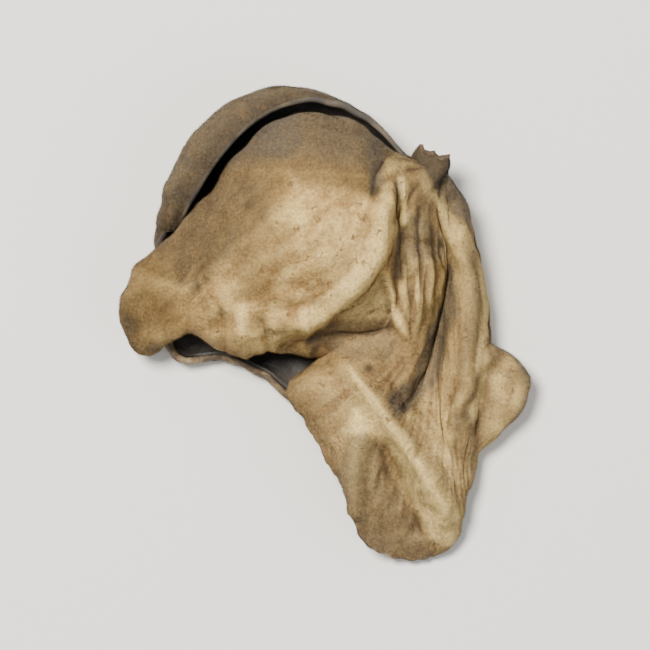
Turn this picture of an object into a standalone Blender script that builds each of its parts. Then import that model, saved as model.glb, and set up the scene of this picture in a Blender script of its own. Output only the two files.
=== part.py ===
# Wood ear mushroom: one dried, white-backed ear, lying with its velvety back up.
# The ear is a single thin sheet. Its ribs fan out from the stub where it was cut off the wood,
# over the upper flap, round the fold on the right and back to the left along the lower flap.
# Lengths are in metres, +Z is up, and the ear rests on z = 0.

import math

import bmesh
import bpy
import numpy as np
from mathutils import Vector, noise

MM = 0.001
EAR_LENGTH = 0.0645      # longest side of the dried ear
DRAWN_LENGTH = 64.5      # the same side on the ribs below, in millimetres
WALL = 0.00125           # thickness of the sheet
RIM_WALL = 0.00070       # thickness at the free margin
RIM_REACH = 0.12         # share of a rib over which the sheet thins to its margin
BASE_WALL = 0.00110      # thickness beside the stub
BASE_REACH = 0.22        # share of a rib over which that thickness ends
THINNEST = 0.00030       # thickness left in the tightest folds
FOLD_ROOM = 0.45         # share of a fold's radius that the wall may fill
CALM = 4                 # passes that even out the direction of the wall in a fold
STUB_RADIUS = 0.0025
STUB_FLUTES = ((2, 0.12, 2.2), (3, 0.10, 3.6), (5, 0.05, 1.0))   # how many, how deep, turned
STUB_CENTRE = Vector((18.2, 26.9, 11.1))
STUB_AXIS = Vector((0.42, 0.89, 0.14)).normalized()
NECK = 2.4               # millimetres from the cut to where the ribs part
LAST_STATION = 0.70      # how far out the last station lies between its neighbours
TIGHTEN = 2              # passes that pull the smoothed sheet back to its ribs
COLUMNS = 88             # faces across the fan
ROWS = 26                # faces from the stub to the margin
SOLID_ROWS = 2           # rows of the stub that are solid
JOINED_ROWS = 3          # rows before the two sides of the fan part
RIPPLE = 0.00045         # height of the uneven surface
RIPPLE_SIZE = 0.0065     # distance over which it changes
RIPPLE_SEED = 3.0
RIPPLE_START = 0.30      # share of a rib over which it rises from the stub
FRILL = 0.00080          # how far the free margin waves out of the sheet
FRILL_SIZE = 0.0042      # distance over which it changes
FRILL_SEED = 11.0
FRILL_REACH = 0.22       # share of a rib that waves with the margin
PRESSED = 0.00015        # height below which the back lies flat where the ear rests
GATHERS = 11             # small pleats drawn together at the stub
GATHER = 0.00020         # height of those pleats
GATHER_START = 0.12      # share of a rib where they begin
GATHER_RISE = 0.15       # and over which they rise
GATHER_REACH = 0.40      # share of a rib where they end
GATHER_SWAY = 1.6        # how far they sway sideways, in radians
GATHER_WAVES = 7.0       # how often they sway, in radians along a rib

# Each rib: where it leaves the stub (degrees round it), six points in millimetres from the
# stub to near the margin, and the last curl of the margin as (inward, upward).
RIBS = {
    "tuck": (170, ((11.0, 27.0, 12.6), (5.2, 27.4, 11.6), (-1.9, 26.2, 10.4),
                   (-8.2, 21.0, 8.8), (-13.6, 14.6, 6.8), (-19.6, 8.6, 4.8)), (0.6, -0.2)),
    "edge": (154, ((10.4, 27.6, 14.2), (4.7, 31.2, 14.8), (-4.0, 30.2, 15.7),
                   (-10.4, 23.4, 14.0), (-16.2, 16.0, 11.0), (-22.2, 11.0, 7.2)), (0.6, -0.8)),
    "shoulder": (138, ((10.6, 27.2, 15.2), (4.8, 29.0, 19.4), (-3.0, 26.8, 20.8),
                       (-9.3, 20.0, 18.8), (-15.8, 13.4, 14.4), (-23.8, 8.8, 9.0)), (0.6, -1.4)),
    "tip": (124, ((11.0, 26.5, 15.8), (5.6, 26.0, 21.6), (-1.7, 22.6, 23.2),
                  (-8.9, 17.2, 20.8), (-15.4, 11.2, 15.6), (-25.2, 4.4, 8.6)), (0.6, -1.6)),
    "crown": (113, ((11.5, 25.8, 16.0), (6.6, 23.4, 22.0), (-1.0, 19.2, 24.0),
                    (-8.2, 14.4, 21.8), (-14.8, 8.6, 16.4), (-21.6, -1.4, 7.1)), (1.2, -1.6)),
    "lower_crown": (103, ((12.0, 25.0, 16.2), (7.2, 21.0, 21.8), (2.2, 16.2, 23.4),
                          (-3.2, 11.3, 22.0), (-10.1, 7.2, 17.5), (-15.8, 3.2, 12.8)), (0.6, -1.4)),
    "crest_top": (94, ((12.2, 24.4, 16.4), (9.0, 19.8, 21.0), (6.8, 14.6, 21.8),
                       (2.6, 9.8, 20.6), (-3.6, 6.2, 17.4), (-10.4, -0.4, 11.1)), (0.6, -1.6)),
    "crest": (85, ((12.6, 23.6, 16.2), (10.6, 18.3, 19.6), (9.6, 12.9, 19.8),
                   (5.8, 8.3, 18.6), (0.0, 4.8, 15.8), (-5.4, -0.6, 9.4)), (0.6, -1.8)),
    "crest_flank": (76, ((13.4, 22.6, 15.6), (11.9, 17.2, 16.6), (11.0, 10.4, 15.6),
                         (7.9, 5.7, 13.6), (3.0, 3.4, 11.8), (-2.4, -0.2, 8.8)), (0.6, -1.6)),
    "valley": (67, ((14.2, 21.7, 14.8), (13.2, 15.9, 13.8), (12.6, 8.4, 11.8),
                    (10.0, 3.0, 9.8), (6.0, 1.2, 9.2), (3.4, -1.6, 7.2)), (0.6, -1.0)),
    "pleat": (58, ((14.9, 20.9, 14.6), (14.6, 14.8, 14.6), (13.9, 7.6, 12.4),
                   (11.4, 1.6, 9.6), (6.4, -1.8, 12.0), (-2.0, -5.2, 9.0)), (0.8, -0.9)),
    "dip": (49, ((15.5, 20.3, 13.8), (15.6, 14.1, 12.9), (14.9, 6.0, 10.8),
                 (12.4, -0.4, 9.2), (8.0, -4.2, 12.8), (0.2, -9.4, 9.2)), (0.8, -0.9)),
    "second_pleat": (40, ((16.2, 19.8, 13.4), (16.6, 13.6, 12.9), (15.9, 4.4, 10.4),
                          (13.6, -2.4, 8.4), (9.6, -6.6, 13.0), (3.0, -14.0, 9.0)), (0.8, -0.9)),
    "lit_end": (30, ((16.9, 19.5, 12.5), (17.6, 13.2, 11.2), (16.8, 2.8, 8.2),
                     (14.8, -4.4, 7.4), (11.4, -9.0, 12.8), (6.2, -20.2, 10.0)), (0.6, -0.9)),
    "nose_top": (20, ((17.5, 19.3, 11.6), (18.5, 12.8, 9.6), (17.6, 1.2, 6.6),
                      (16.0, -6.2, 7.0), (13.2, -11.6, 12.2), (8.4, -25.4, 7.0)), (0.0, -0.4)),
    "nose": (10, ((18.1, 19.1, 11.0), (19.3, 12.6, 8.6), (18.3, -0.2, 5.8),
                  (17.2, -8.2, 7.4), (15.0, -14.6, 11.4), (12.2, -28.0, 3.6)), (0.0, -0.4)),
    "nose_low": (1, ((18.8, 19.1, 10.6), (20.0, 12.6, 8.1), (19.1, -1.4, 5.8),
                     (18.6, -10.2, 8.0), (17.2, -17.8, 10.2), (16.4, -28.4, 2.0)), (0.0, -0.4)),
    "nose_crest": (-8, ((19.5, 19.2, 10.6), (20.7, 12.7, 8.3), (20.0, -1.8, 7.4),
                        (19.8, -11.2, 7.8), (19.2, -20.0, 8.2), (20.0, -27.0, 2.4)), (0.2, -0.6)),
    "gutter": (-18, ((20.3, 19.5, 10.8), (21.4, 12.9, 10.0), (21.3, -0.8, 9.6),
                     (21.2, -9.6, 8.6), (20.8, -18.0, 6.6), (21.6, -23.8, 3.6)), (0.4, -0.4)),
    "right_crest": (-28, ((21.1, 19.9, 10.8), (22.4, 13.3, 10.4), (23.0, 2.6, 10.0),
                          (22.8, -6.0, 8.8), (21.8, -13.6, 7.0), (22.0, -20.8, 4.6)), (0.4, -0.2)),
    "right_flank": (-39, ((21.6, 20.4, 9.2), (23.3, 13.6, 8.4), (24.5, 3.8, 7.2),
                          (24.6, -4.8, 5.6), (23.2, -13.2, 5.2), (22.5, -19.6, 3.6)), (0.6, 0.0)),
    "tab": (-51, ((21.4, 20.9, 6.9), (23.2, 14.0, 5.2), (24.9, 4.4, 4.4),
                  (25.6, -5.2, 4.8), (23.6, -13.4, 3.2), (22.0, -19.2, 2.2)), (0.6, 0.2)),
    "under_right": (-64, ((19.8, 21.0, 4.9), (20.8, 14.6, 2.2), (22.6, 5.2, 0.9),
                          (23.6, -5.6, 1.4), (21.0, -13.6, 0.5), (18.4, -20.2, 1.2)), (0.8, 0.4)),
    "under_nose": (-76, ((16.8, 21.0, 3.9), (16.4, 14.6, 1.2), (15.6, 6.8, 0.4),
                         (14.2, -1.8, 0.4), (12.4, -9.4, 0.6), (10.4, -16.8, 1.4)), (0.8, 0.4)),
    "under_notch": (-92, ((14.2, 21.8, 3.6), (12.0, 17.4, 1.5), (8.9, 11.5, 0.4),
                          (5.4, 4.6, 0.5), (1.0, -1.2, 1.2), (-4.4, -5.0, 2.4)), (0.8, 0.4)),
    "under_low": (-108, ((12.4, 23.0, 3.9), (8.0, 19.7, 2.0), (2.4, 14.4, 0.6),
                         (-2.9, 8.6, 0.4), (-7.4, 2.6, 0.8), (-11.0, -2.0, 2.6)), (0.8, 0.5)),
    "under_middle": (-124, ((11.4, 24.6, 4.3), (6.2, 22.1, 2.5), (-0.5, 17.8, 0.9),
                            (-7.2, 12.5, 0.4), (-13.2, 5.8, 0.7), (-18.4, -1.8, 2.7)), (1.0, 0.4)),
    "under_top": (-142, ((11.0, 26.4, 5.2), (4.8, 25.9, 3.5), (-2.9, 23.5, 2.0),
                         (-9.9, 17.8, 1.1), (-15.2, 11.6, 1.2), (-20.0, 5.6, 2.7)), (1.0, 0.4)),
    "outer_wall": (-160, ((10.9, 28.2, 6.9), (3.8, 32.4, 6.0), (-4.9, 32.9, 5.0),
                          (-12.4, 28.2, 4.5), (-17.2, 20.8, 4.2), (-19.4, 13.0, 3.2)), (0.8, 0.6)),
    "roll_top": (-176, ((11.4, 28.9, 8.8), (3.8, 34.2, 10.6), (-4.6, 34.6, 12.0),
                        (-12.2, 30.0, 12.6), (-17.0, 23.2, 11.0), (-19.3, 16.0, 6.6)), (0.6, 0.2)),
    "roll_rim": (-188, ((11.6, 28.9, 10.6), (5.0, 33.5, 12.6), (-3.3, 33.0, 13.3),
                        (-9.6, 28.2, 14.0), (-14.2, 22.0, 12.0), (-17.2, 16.4, 7.4)), (0.4, -0.6)),
}

# Each fold line in the upper flap: height in millimetres (a groove is negative), how far it
# spreads to the left and to the right of the line as it runs, and the line seen from above.
FOLDS = {
    "crest": (1.9, (2.2, 5.0), ((12.2, 22.8), (10.7, 18.1), (10.1, 13.2), (7.6, 9.7), (5.2, 7.2),
                                (2.4, 5.0), (-1.0, 4.4))),
    "valley": (-1.1, (2.0, 2.4), ((-1.5, 1.6), (1.2, 3.0), (6.0, 2.6), (10.0, 2.8), (12.6, 3.6))),
    "end_ridge": (2.2, (3.6, 2.2), ((5.6, -1.4), (9.6, -6.8), (12.6, -11.2), (16.0, -15.8),
                                    (19.0, -20.6), (20.6, -24.0))),
    "lit_edge": (1.5, (2.2, 4.0), ((9.4, -10.6), (7.6, -13.0), (7.0, -18.0), (7.8, -23.6))),
    "end_hollow": (-2.6, (3.2, 4.6), ((10.6, -12.2), (12.8, -16.2), (15.4, -20.8), (17.0, -25.6))),
    "gutter": (-1.8, (3.4, 3.2), ((20.8, 12.8), (20.2, 9.0), (19.2, 5.4), (17.8, 1.0),
                                  (17.0, -2.6), (15.6, -5.6), (13.2, -8.4))),
    "stub_hollow": (-1.3, (2.6, 2.6), ((12.8, 15.4), (16.0, 14.6), (19.4, 14.0))),
    "stub_groove": (-1.0, (1.8, 1.8), ((11.0, 25.6), (9.8, 23.6), (9.5, 20.4))),
    "top_pleat": (0.7, (1.4, 1.4), ((13.7, 22.8), (13.8, 19.6), (14.0, 16.6))),
    "first_pleat": (0.7, (1.8, 1.2), ((10.8, 12.0), (11.5, 9.4), (12.9, 5.4), (14.4, 1.8))),
    "second_pleat": (0.6, (1.3, 1.3), ((15.2, 13.6), (15.7, 10.6), (15.8, 7.0), (15.6, 4.6))),
    "third_pleat": (0.5, (1.2, 1.2), ((17.1, 13.4), (17.5, 9.8), (17.2, 6.6))),
    "right_crest": (0.7, (1.8, 1.8), ((17.6, 21.4), (19.4, 18.6), (21.2, 14.6), (22.6, 10.6))),
    "tab_crest": (0.7, (1.6, 1.6), ((24.2, 0.0), (22.4, -5.6), (21.0, -9.7), (19.9, -13.0))),
}
FOLD_SIDES = (1, 20)     # first and last rib that the fold lines touch
FADE = 0.16              # share of a fold line over which it rises at each end
TAB_RIB = 21             # rib at the edge of the tab on the right
TAB_SPREAD = 1.5         # ribs that the tab spreads to either side
TAB_MIDDLE = -4.8        # millimetres along Y
TAB_ABOVE = 5.5          # how far it runs above its middle, in millimetres
TAB_BELOW = 9.0          # and below
TAB_REACH = 4.9          # how far it stands out, in millimetres
TAB_LIFT = 1.2           # how far its rim turns up, in millimetres

BACK_COLOUR = (0.42, 0.29, 0.17, 1.0)
BACK_ROUGHNESS = 0.9


def stub_ring(degrees):
    """A point on the rim of the cut, at an angle round the stub's axis."""
    side = Vector((STUB_AXIS.y, -STUB_AXIS.x, 0.0)).normalized()
    up = side.cross(STUB_AXIS).normalized()
    turn = math.radians(degrees)
    flutes = sum(depth * math.cos(count * turn + start) for count, depth, start in STUB_FLUTES)
    radius = STUB_RADIUS / MM * (1 + flutes)
    return STUB_CENTRE + (side * math.cos(turn) + up * math.sin(turn)) * radius


def rib_cage():
    """The control points of the sheet, as ribs by stations, in millimetres."""
    cage = []
    for degrees, points, (inward, upward) in RIBS.values():
        start = stub_ring(degrees)
        root = start - STUB_AXIS * NECK
        stations = [Vector(point) for point in points]
        home = start - stations[-1]
        home.z = 0.0
        margin = stations[-1] + home.normalized() * inward + Vector((0.0, 0.0, upward))
        stations[-1] = stations[-2].lerp(stations[-1], LAST_STATION)
        cage.append([start, root] + stations + [margin])
    return np.array(cage)


def tighten(wanted):
    """Move control points out, so that the smooth line comes close to the wanted points."""
    points = wanted.copy()
    for _ in range(TIGHTEN):
        smoothed = (points[:-2] + 4 * points[1:-1] + points[2:]) / 6
        points[1:-1] += wanted[1:-1] - smoothed
    return points


def smooth_line(points, count):
    """Cubic B-spline through control points, with its ends on the end points."""
    first = 2 * points[0] - points[1]
    last = 2 * points[-1] - points[-2]
    points = np.concatenate(([first], points, [last]))
    spans = len(points) - 3
    position = np.linspace(0.0, spans, count + 1)
    index = np.minimum(position.astype(int), spans - 1)
    t = (position - index).reshape((-1,) + (1,) * (points.ndim - 1))
    weights = ((1 - t) ** 3, 3 * t ** 3 - 6 * t ** 2 + 4, -3 * t ** 3 + 3 * t ** 2 + 3 * t + 1, t ** 3)
    return sum(weight * points[index + step] for step, weight in enumerate(weights)) / 6


def middle_surface():
    """The middle of the sheet as columns by rows of points, in metres."""
    ribs = smooth_line(tighten(rib_cage()), COLUMNS)
    grid = smooth_line(tighten(ribs.transpose(1, 0, 2)), ROWS).transpose(1, 0, 2)
    share_seam(grid)
    press_folds(grid)
    flare_tab(grid)
    return grid * EAR_LENGTH / DRAWN_LENGTH


def soft_step(value):
    value = np.clip(value, 0.0, 1.0)
    return value * value * (3 - 2 * value)


def rib_position(grid):
    """Which rib each column lies on, counted from the first."""
    return np.linspace(0.0, len(RIBS) - 1, len(grid))[:, None]


def press_folds(grid):
    """Raise the ridges and sink the grooves of the upper flap."""
    ribs = rib_position(grid)
    first, last = FOLD_SIDES
    upper = soft_step(ribs - first) * soft_step(last + 1 - ribs)
    lift = np.zeros(grid.shape[:2])
    for height, spread, line in FOLDS.values():
        away, along, left = line_distance(grid[..., :2], np.array(line))
        ends = soft_step(np.minimum(along, 1 - along) / FADE + 0.25)
        share = np.clip(1 - away / np.where(left, spread[0], spread[1]), 0.0, 1.0)
        lift += height * ends * share ** 2
    grid[..., 2] += lift * upper


def line_distance(places, line):
    """How far each place is from a bent line, how far along it, and whether on its left."""
    steps = np.diff(line, axis=0)
    lengths = np.linalg.norm(steps, axis=1)
    starts = np.concatenate(([0.0], np.cumsum(lengths)))
    best = np.full(places.shape[:2], np.inf)
    along = np.zeros(places.shape[:2])
    left = np.zeros(places.shape[:2], bool)
    for corner, step, length, start in zip(line, steps, lengths, starts):
        offset = places - corner
        share = np.clip((offset @ step) / length ** 2, 0.0, 1.0)
        away = np.linalg.norm(offset - share[..., None] * step, axis=-1)
        nearer = away < best
        along = np.where(nearer, (start + share * length) / starts[-1], along)
        left = np.where(nearer, step[0] * offset[..., 1] > step[1] * offset[..., 0], left)
        best = np.minimum(best, away)
    return best, along, left


def flare_tab(grid):
    """Push the fold on the right out into a rounded tab with a raised rim."""
    near = soft_step(1 - abs(rib_position(grid) - TAB_RIB) / TAB_SPREAD)
    away = grid[..., 1] - TAB_MIDDLE
    share = away / np.where(away > 0, TAB_ABOVE, TAB_BELOW)
    bulge = near * np.clip(1 - share ** 2, 0.0, 1.0)
    grid[..., 0] += TAB_REACH * bulge
    grid[..., 2] += TAB_LIFT * bulge


def share_seam(values):
    """Give the two sides of the fan the same values where they are joined."""
    joined = slice(0, JOINED_ROWS + 1)
    seam = (values[0, joined] + values[-1, joined]) / 2
    values[0, joined] = seam
    values[-1, joined] = seam


def surface_normals(grid):
    """Unit normals that point out of the ear's back."""
    across = np.gradient(grid, axis=0)
    along = np.gradient(grid, axis=1)
    normals = np.cross(along, across)
    return normals / np.linalg.norm(normals, axis=2, keepdims=True)


def noise_grid(grid, size, seed):
    """Smooth noise between -1 and 1, read where each point of the grid lies."""
    values = [[noise.noise(Vector(point) / size + Vector((seed, 0.0, 0.0))) for point in column]
              for column in grid]
    return np.array(values)


def uneven(grid, u, v):
    """The sheet as it dried: ripples, small pleats at the stub and a waving margin."""
    rise = np.clip(v / RIPPLE_START, 0.0, 1.0)
    ripple = RIPPLE * rise * noise_grid(grid, RIPPLE_SIZE, RIPPLE_SEED)
    gather = np.sin(2 * math.pi * GATHERS * u + GATHER_SWAY * np.sin(GATHER_WAVES * v))
    gather *= np.clip((v - GATHER_START) / GATHER_RISE, 0.0, 1.0)
    gather *= GATHER * np.clip(1 - v / GATHER_REACH, 0.0, 1.0)
    frill = np.clip((v - 1 + FRILL_REACH) / FRILL_REACH, 0.0, 1.0) ** 1.5
    frill = FRILL * frill * noise_grid(grid, FRILL_SIZE, FRILL_SEED)
    return grid + surface_normals(grid) * (ripple + gather + frill)[..., None]


def calm_normals(grid):
    """Normals averaged with their neighbours, which leans the wall gently through a fold."""
    normals = surface_normals(grid)
    for _ in range(CALM):
        padded = np.pad(normals, ((1, 1), (1, 1), (0, 0)), mode="edge")
        across = padded[:-2, 1:-1] + padded[2:, 1:-1]
        along = padded[1:-1, :-2] + padded[1:-1, 2:]
        normals = normals + (across + along) / 2
        share_seam(normals)
        normals /= np.linalg.norm(normals, axis=2, keepdims=True)
    return normals


def half_wall(grid, normals, wanted, side):
    """Half the wall on one side of the middle, held short of the centre of a tight fold."""
    room = np.full(wanted.shape, np.inf)
    for axis in (0, 1):
        step = np.gradient(grid, axis=axis)
        turn = np.gradient(normals, axis=axis)
        bend = -side * (step * turn).sum(axis=2) / np.maximum((step ** 2).sum(axis=2), 1e-12)
        room = np.minimum(room, FOLD_ROOM / np.maximum(bend, 1.0))
    room = np.clip(room, THINNEST / 2, None)
    return np.minimum(wanted, room)


def sheet():
    """The middle, the back and the face of the sheet, as grids of points in metres."""
    v = np.linspace(0.0, 1.0, ROWS + 1)[None, :]
    u = np.linspace(0.0, 1.0, COLUMNS + 1)[:, None]
    grid = uneven(middle_surface(), u, v)
    to_margin = np.minimum(1 - v, np.minimum(u, 1 - u) * 2.0)
    margin = np.clip(to_margin / RIM_REACH, 0.0, 1.0)
    base = np.clip(1 - v / BASE_REACH, 0.0, 1.0) ** 1.5
    thickness = RIM_WALL + (WALL - RIM_WALL) * margin
    thickness = thickness + (BASE_WALL - thickness) * base
    grid[..., 2] = np.maximum(grid[..., 2], thickness / 2)
    normals = calm_normals(grid)
    back = grid + normals * half_wall(grid, normals, thickness / 2, 1)[..., None]
    face = grid - normals * half_wall(grid, normals, thickness / 2, -1)[..., None]
    back[..., 2] = np.where(back[..., 2] < PRESSED, 0.0, back[..., 2])
    share_seam(back)
    share_seam(face)
    return grid, back, face


def build_ear():
    _, outer, inner = sheet()
    mesh = bmesh.new()
    outer_points = grid_points(mesh, outer, 0)
    inner_points = grid_points(mesh, inner, SOLID_ROWS)
    for column in range(COLUMNS):
        for row in range(ROWS):
            corners = ((column, row), (column, row + 1), (column + 1, row + 1), (column + 1, row))
            mesh.faces.new([outer_points[corner] for corner in corners])
            if row >= SOLID_ROWS:
                mesh.faces.new([inner_points[corner] for corner in reversed(corners)])
        end = ROWS
        mesh.faces.new([outer_points[column, end], inner_points[column, end],
                        inner_points[column + 1, end], outer_points[column + 1, end]])
    for row in range(JOINED_ROWS, ROWS):
        mesh.faces.new([outer_points[0, row], inner_points[0, row],
                        inner_points[0, row + 1], outer_points[0, row + 1]])
        mesh.faces.new([outer_points[COLUMNS, row], outer_points[COLUMNS, row + 1],
                        inner_points[COLUMNS, row + 1], inner_points[COLUMNS, row]])
    cap_ring(mesh, [outer_points[column, 0] for column in range(COLUMNS)])
    cap_ring(mesh, [inner_points[column, SOLID_ROWS] for column in range(COLUMNS)])
    bmesh.ops.recalc_face_normals(mesh, faces=mesh.faces)
    return mesh


def grid_points(mesh, grid, first_row):
    """Mesh vertices for a grid, with the first and last columns shared near the stub."""
    points = {}
    for row in range(first_row, ROWS + 1):
        for column in range(COLUMNS + 1):
            if column == COLUMNS and row <= JOINED_ROWS:
                points[column, row] = points[0, row]
            else:
                points[column, row] = mesh.verts.new(grid[column, row])
    return points


def cap_ring(mesh, ring):
    """Close a ring with a fan of faces to its middle."""
    middle = mesh.verts.new(sum((point.co for point in ring), Vector()) / len(ring))
    for index, point in enumerate(ring):
        mesh.faces.new((point, ring[(index + 1) % len(ring)], middle))


def settle(mesh):
    """Put the middle of the ear's box over the origin, with its lowest point on z = 0."""
    places = np.array([point.co for point in mesh.verts])
    low = places.min(axis=0)
    high = places.max(axis=0)
    shift = Vector((-(low[0] + high[0]) / 2, -(low[1] + high[1]) / 2, -low[2]))
    bmesh.ops.translate(mesh, verts=mesh.verts, vec=shift)


def back_material():
    material = bpy.data.materials.new("velvety_back")
    material.use_nodes = True
    shader = material.node_tree.nodes["Principled BSDF"]
    shader.inputs["Base Color"].default_value = BACK_COLOUR
    shader.inputs["Roughness"].default_value = BACK_ROUGHNESS
    shader.inputs["Metallic"].default_value = 0.0
    return material


def main():
    for old in list(bpy.data.objects):
        bpy.data.objects.remove(old)
    mesh = build_ear()
    settle(mesh)
    data = bpy.data.meshes.new("wood_ear")
    mesh.to_mesh(data)
    mesh.free()
    data.materials.append(back_material())
    data.shade_smooth()
    ear = bpy.data.objects.new("wood_ear", data)
    bpy.context.scene.collection.objects.link(ear)


main()
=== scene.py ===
# Wood ear mushroom: the looks of one dried, white-backed ear.
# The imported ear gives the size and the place. The same fan of ribs is drawn again here as a
# finer sheet, with its small creases, its thin margin, its dark face and its velvet. A table
# stands above the functions that use it, and lines and places in it are in millimetres from
# above, on the ear as drawn.

import math

import bpy
import numpy as np
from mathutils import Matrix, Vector, noise


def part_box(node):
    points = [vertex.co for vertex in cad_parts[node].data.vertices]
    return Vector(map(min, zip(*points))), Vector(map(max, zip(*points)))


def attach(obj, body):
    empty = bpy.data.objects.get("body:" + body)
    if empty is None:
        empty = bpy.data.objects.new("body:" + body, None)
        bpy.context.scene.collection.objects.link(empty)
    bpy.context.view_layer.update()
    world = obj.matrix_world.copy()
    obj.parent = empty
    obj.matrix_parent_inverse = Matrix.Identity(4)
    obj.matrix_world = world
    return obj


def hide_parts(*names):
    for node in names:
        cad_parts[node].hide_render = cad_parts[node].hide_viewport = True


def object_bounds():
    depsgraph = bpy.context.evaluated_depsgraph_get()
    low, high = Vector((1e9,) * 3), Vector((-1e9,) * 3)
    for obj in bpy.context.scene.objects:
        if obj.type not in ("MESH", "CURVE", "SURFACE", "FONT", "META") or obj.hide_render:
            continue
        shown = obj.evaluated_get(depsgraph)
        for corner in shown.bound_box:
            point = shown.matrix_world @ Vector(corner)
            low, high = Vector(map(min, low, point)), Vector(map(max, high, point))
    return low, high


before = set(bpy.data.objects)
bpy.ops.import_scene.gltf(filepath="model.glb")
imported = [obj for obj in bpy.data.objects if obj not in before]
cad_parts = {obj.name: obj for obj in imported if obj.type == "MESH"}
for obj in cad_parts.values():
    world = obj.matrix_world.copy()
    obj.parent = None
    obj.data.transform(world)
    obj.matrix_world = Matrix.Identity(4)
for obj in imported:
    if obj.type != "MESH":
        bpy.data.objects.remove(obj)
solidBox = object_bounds()

# The sheet: lengths are in metres where nothing else is said.
earShape = {
    "length": 0.0645,          # longest side of the dried ear
    "drawnLength": 64.5,       # the same side on the ribs below, in millimetres
    "wall": 0.00125,
    "rimWall": 0.00062,
    "baseWall": 0.00110,
    "rimShare": 0.10,          # share of the sheet over which it thins to the margin
    "baseShare": 0.22,         # share over which it thickens from the stub
    "marginWidth": 180,        # millimetres round the margin, for patterns that follow the ribs
    "thinnest": 0.00030,       # left in the tightest folds
    "foldRoom": 0.45,          # share of a fold's radius that the wall may fill
    "calmPasses": 80,          # even out the direction of the wall in a fold
    "stubRadius": 0.0025,
    "stubFlutes": ((2, 0.12, 2.2), (3, 0.10, 3.6), (5, 0.05, 1.0)),  # how many, how deep, turned
    "stubCentre": (18.2, 26.9, 11.1),
    "stubAxis": (0.42, 0.89, 0.14),
    "neck": 2.4,               # millimetres from the cut to where the ribs part
    "lastStation": 0.70,
    "tighten": 2,
    "columns": 352,
    "rows": 132,
    "solidRows": 10,
    "joinedRows": 15,
    "pressed": 0.00015,        # height below which the back lies flat
}

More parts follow.
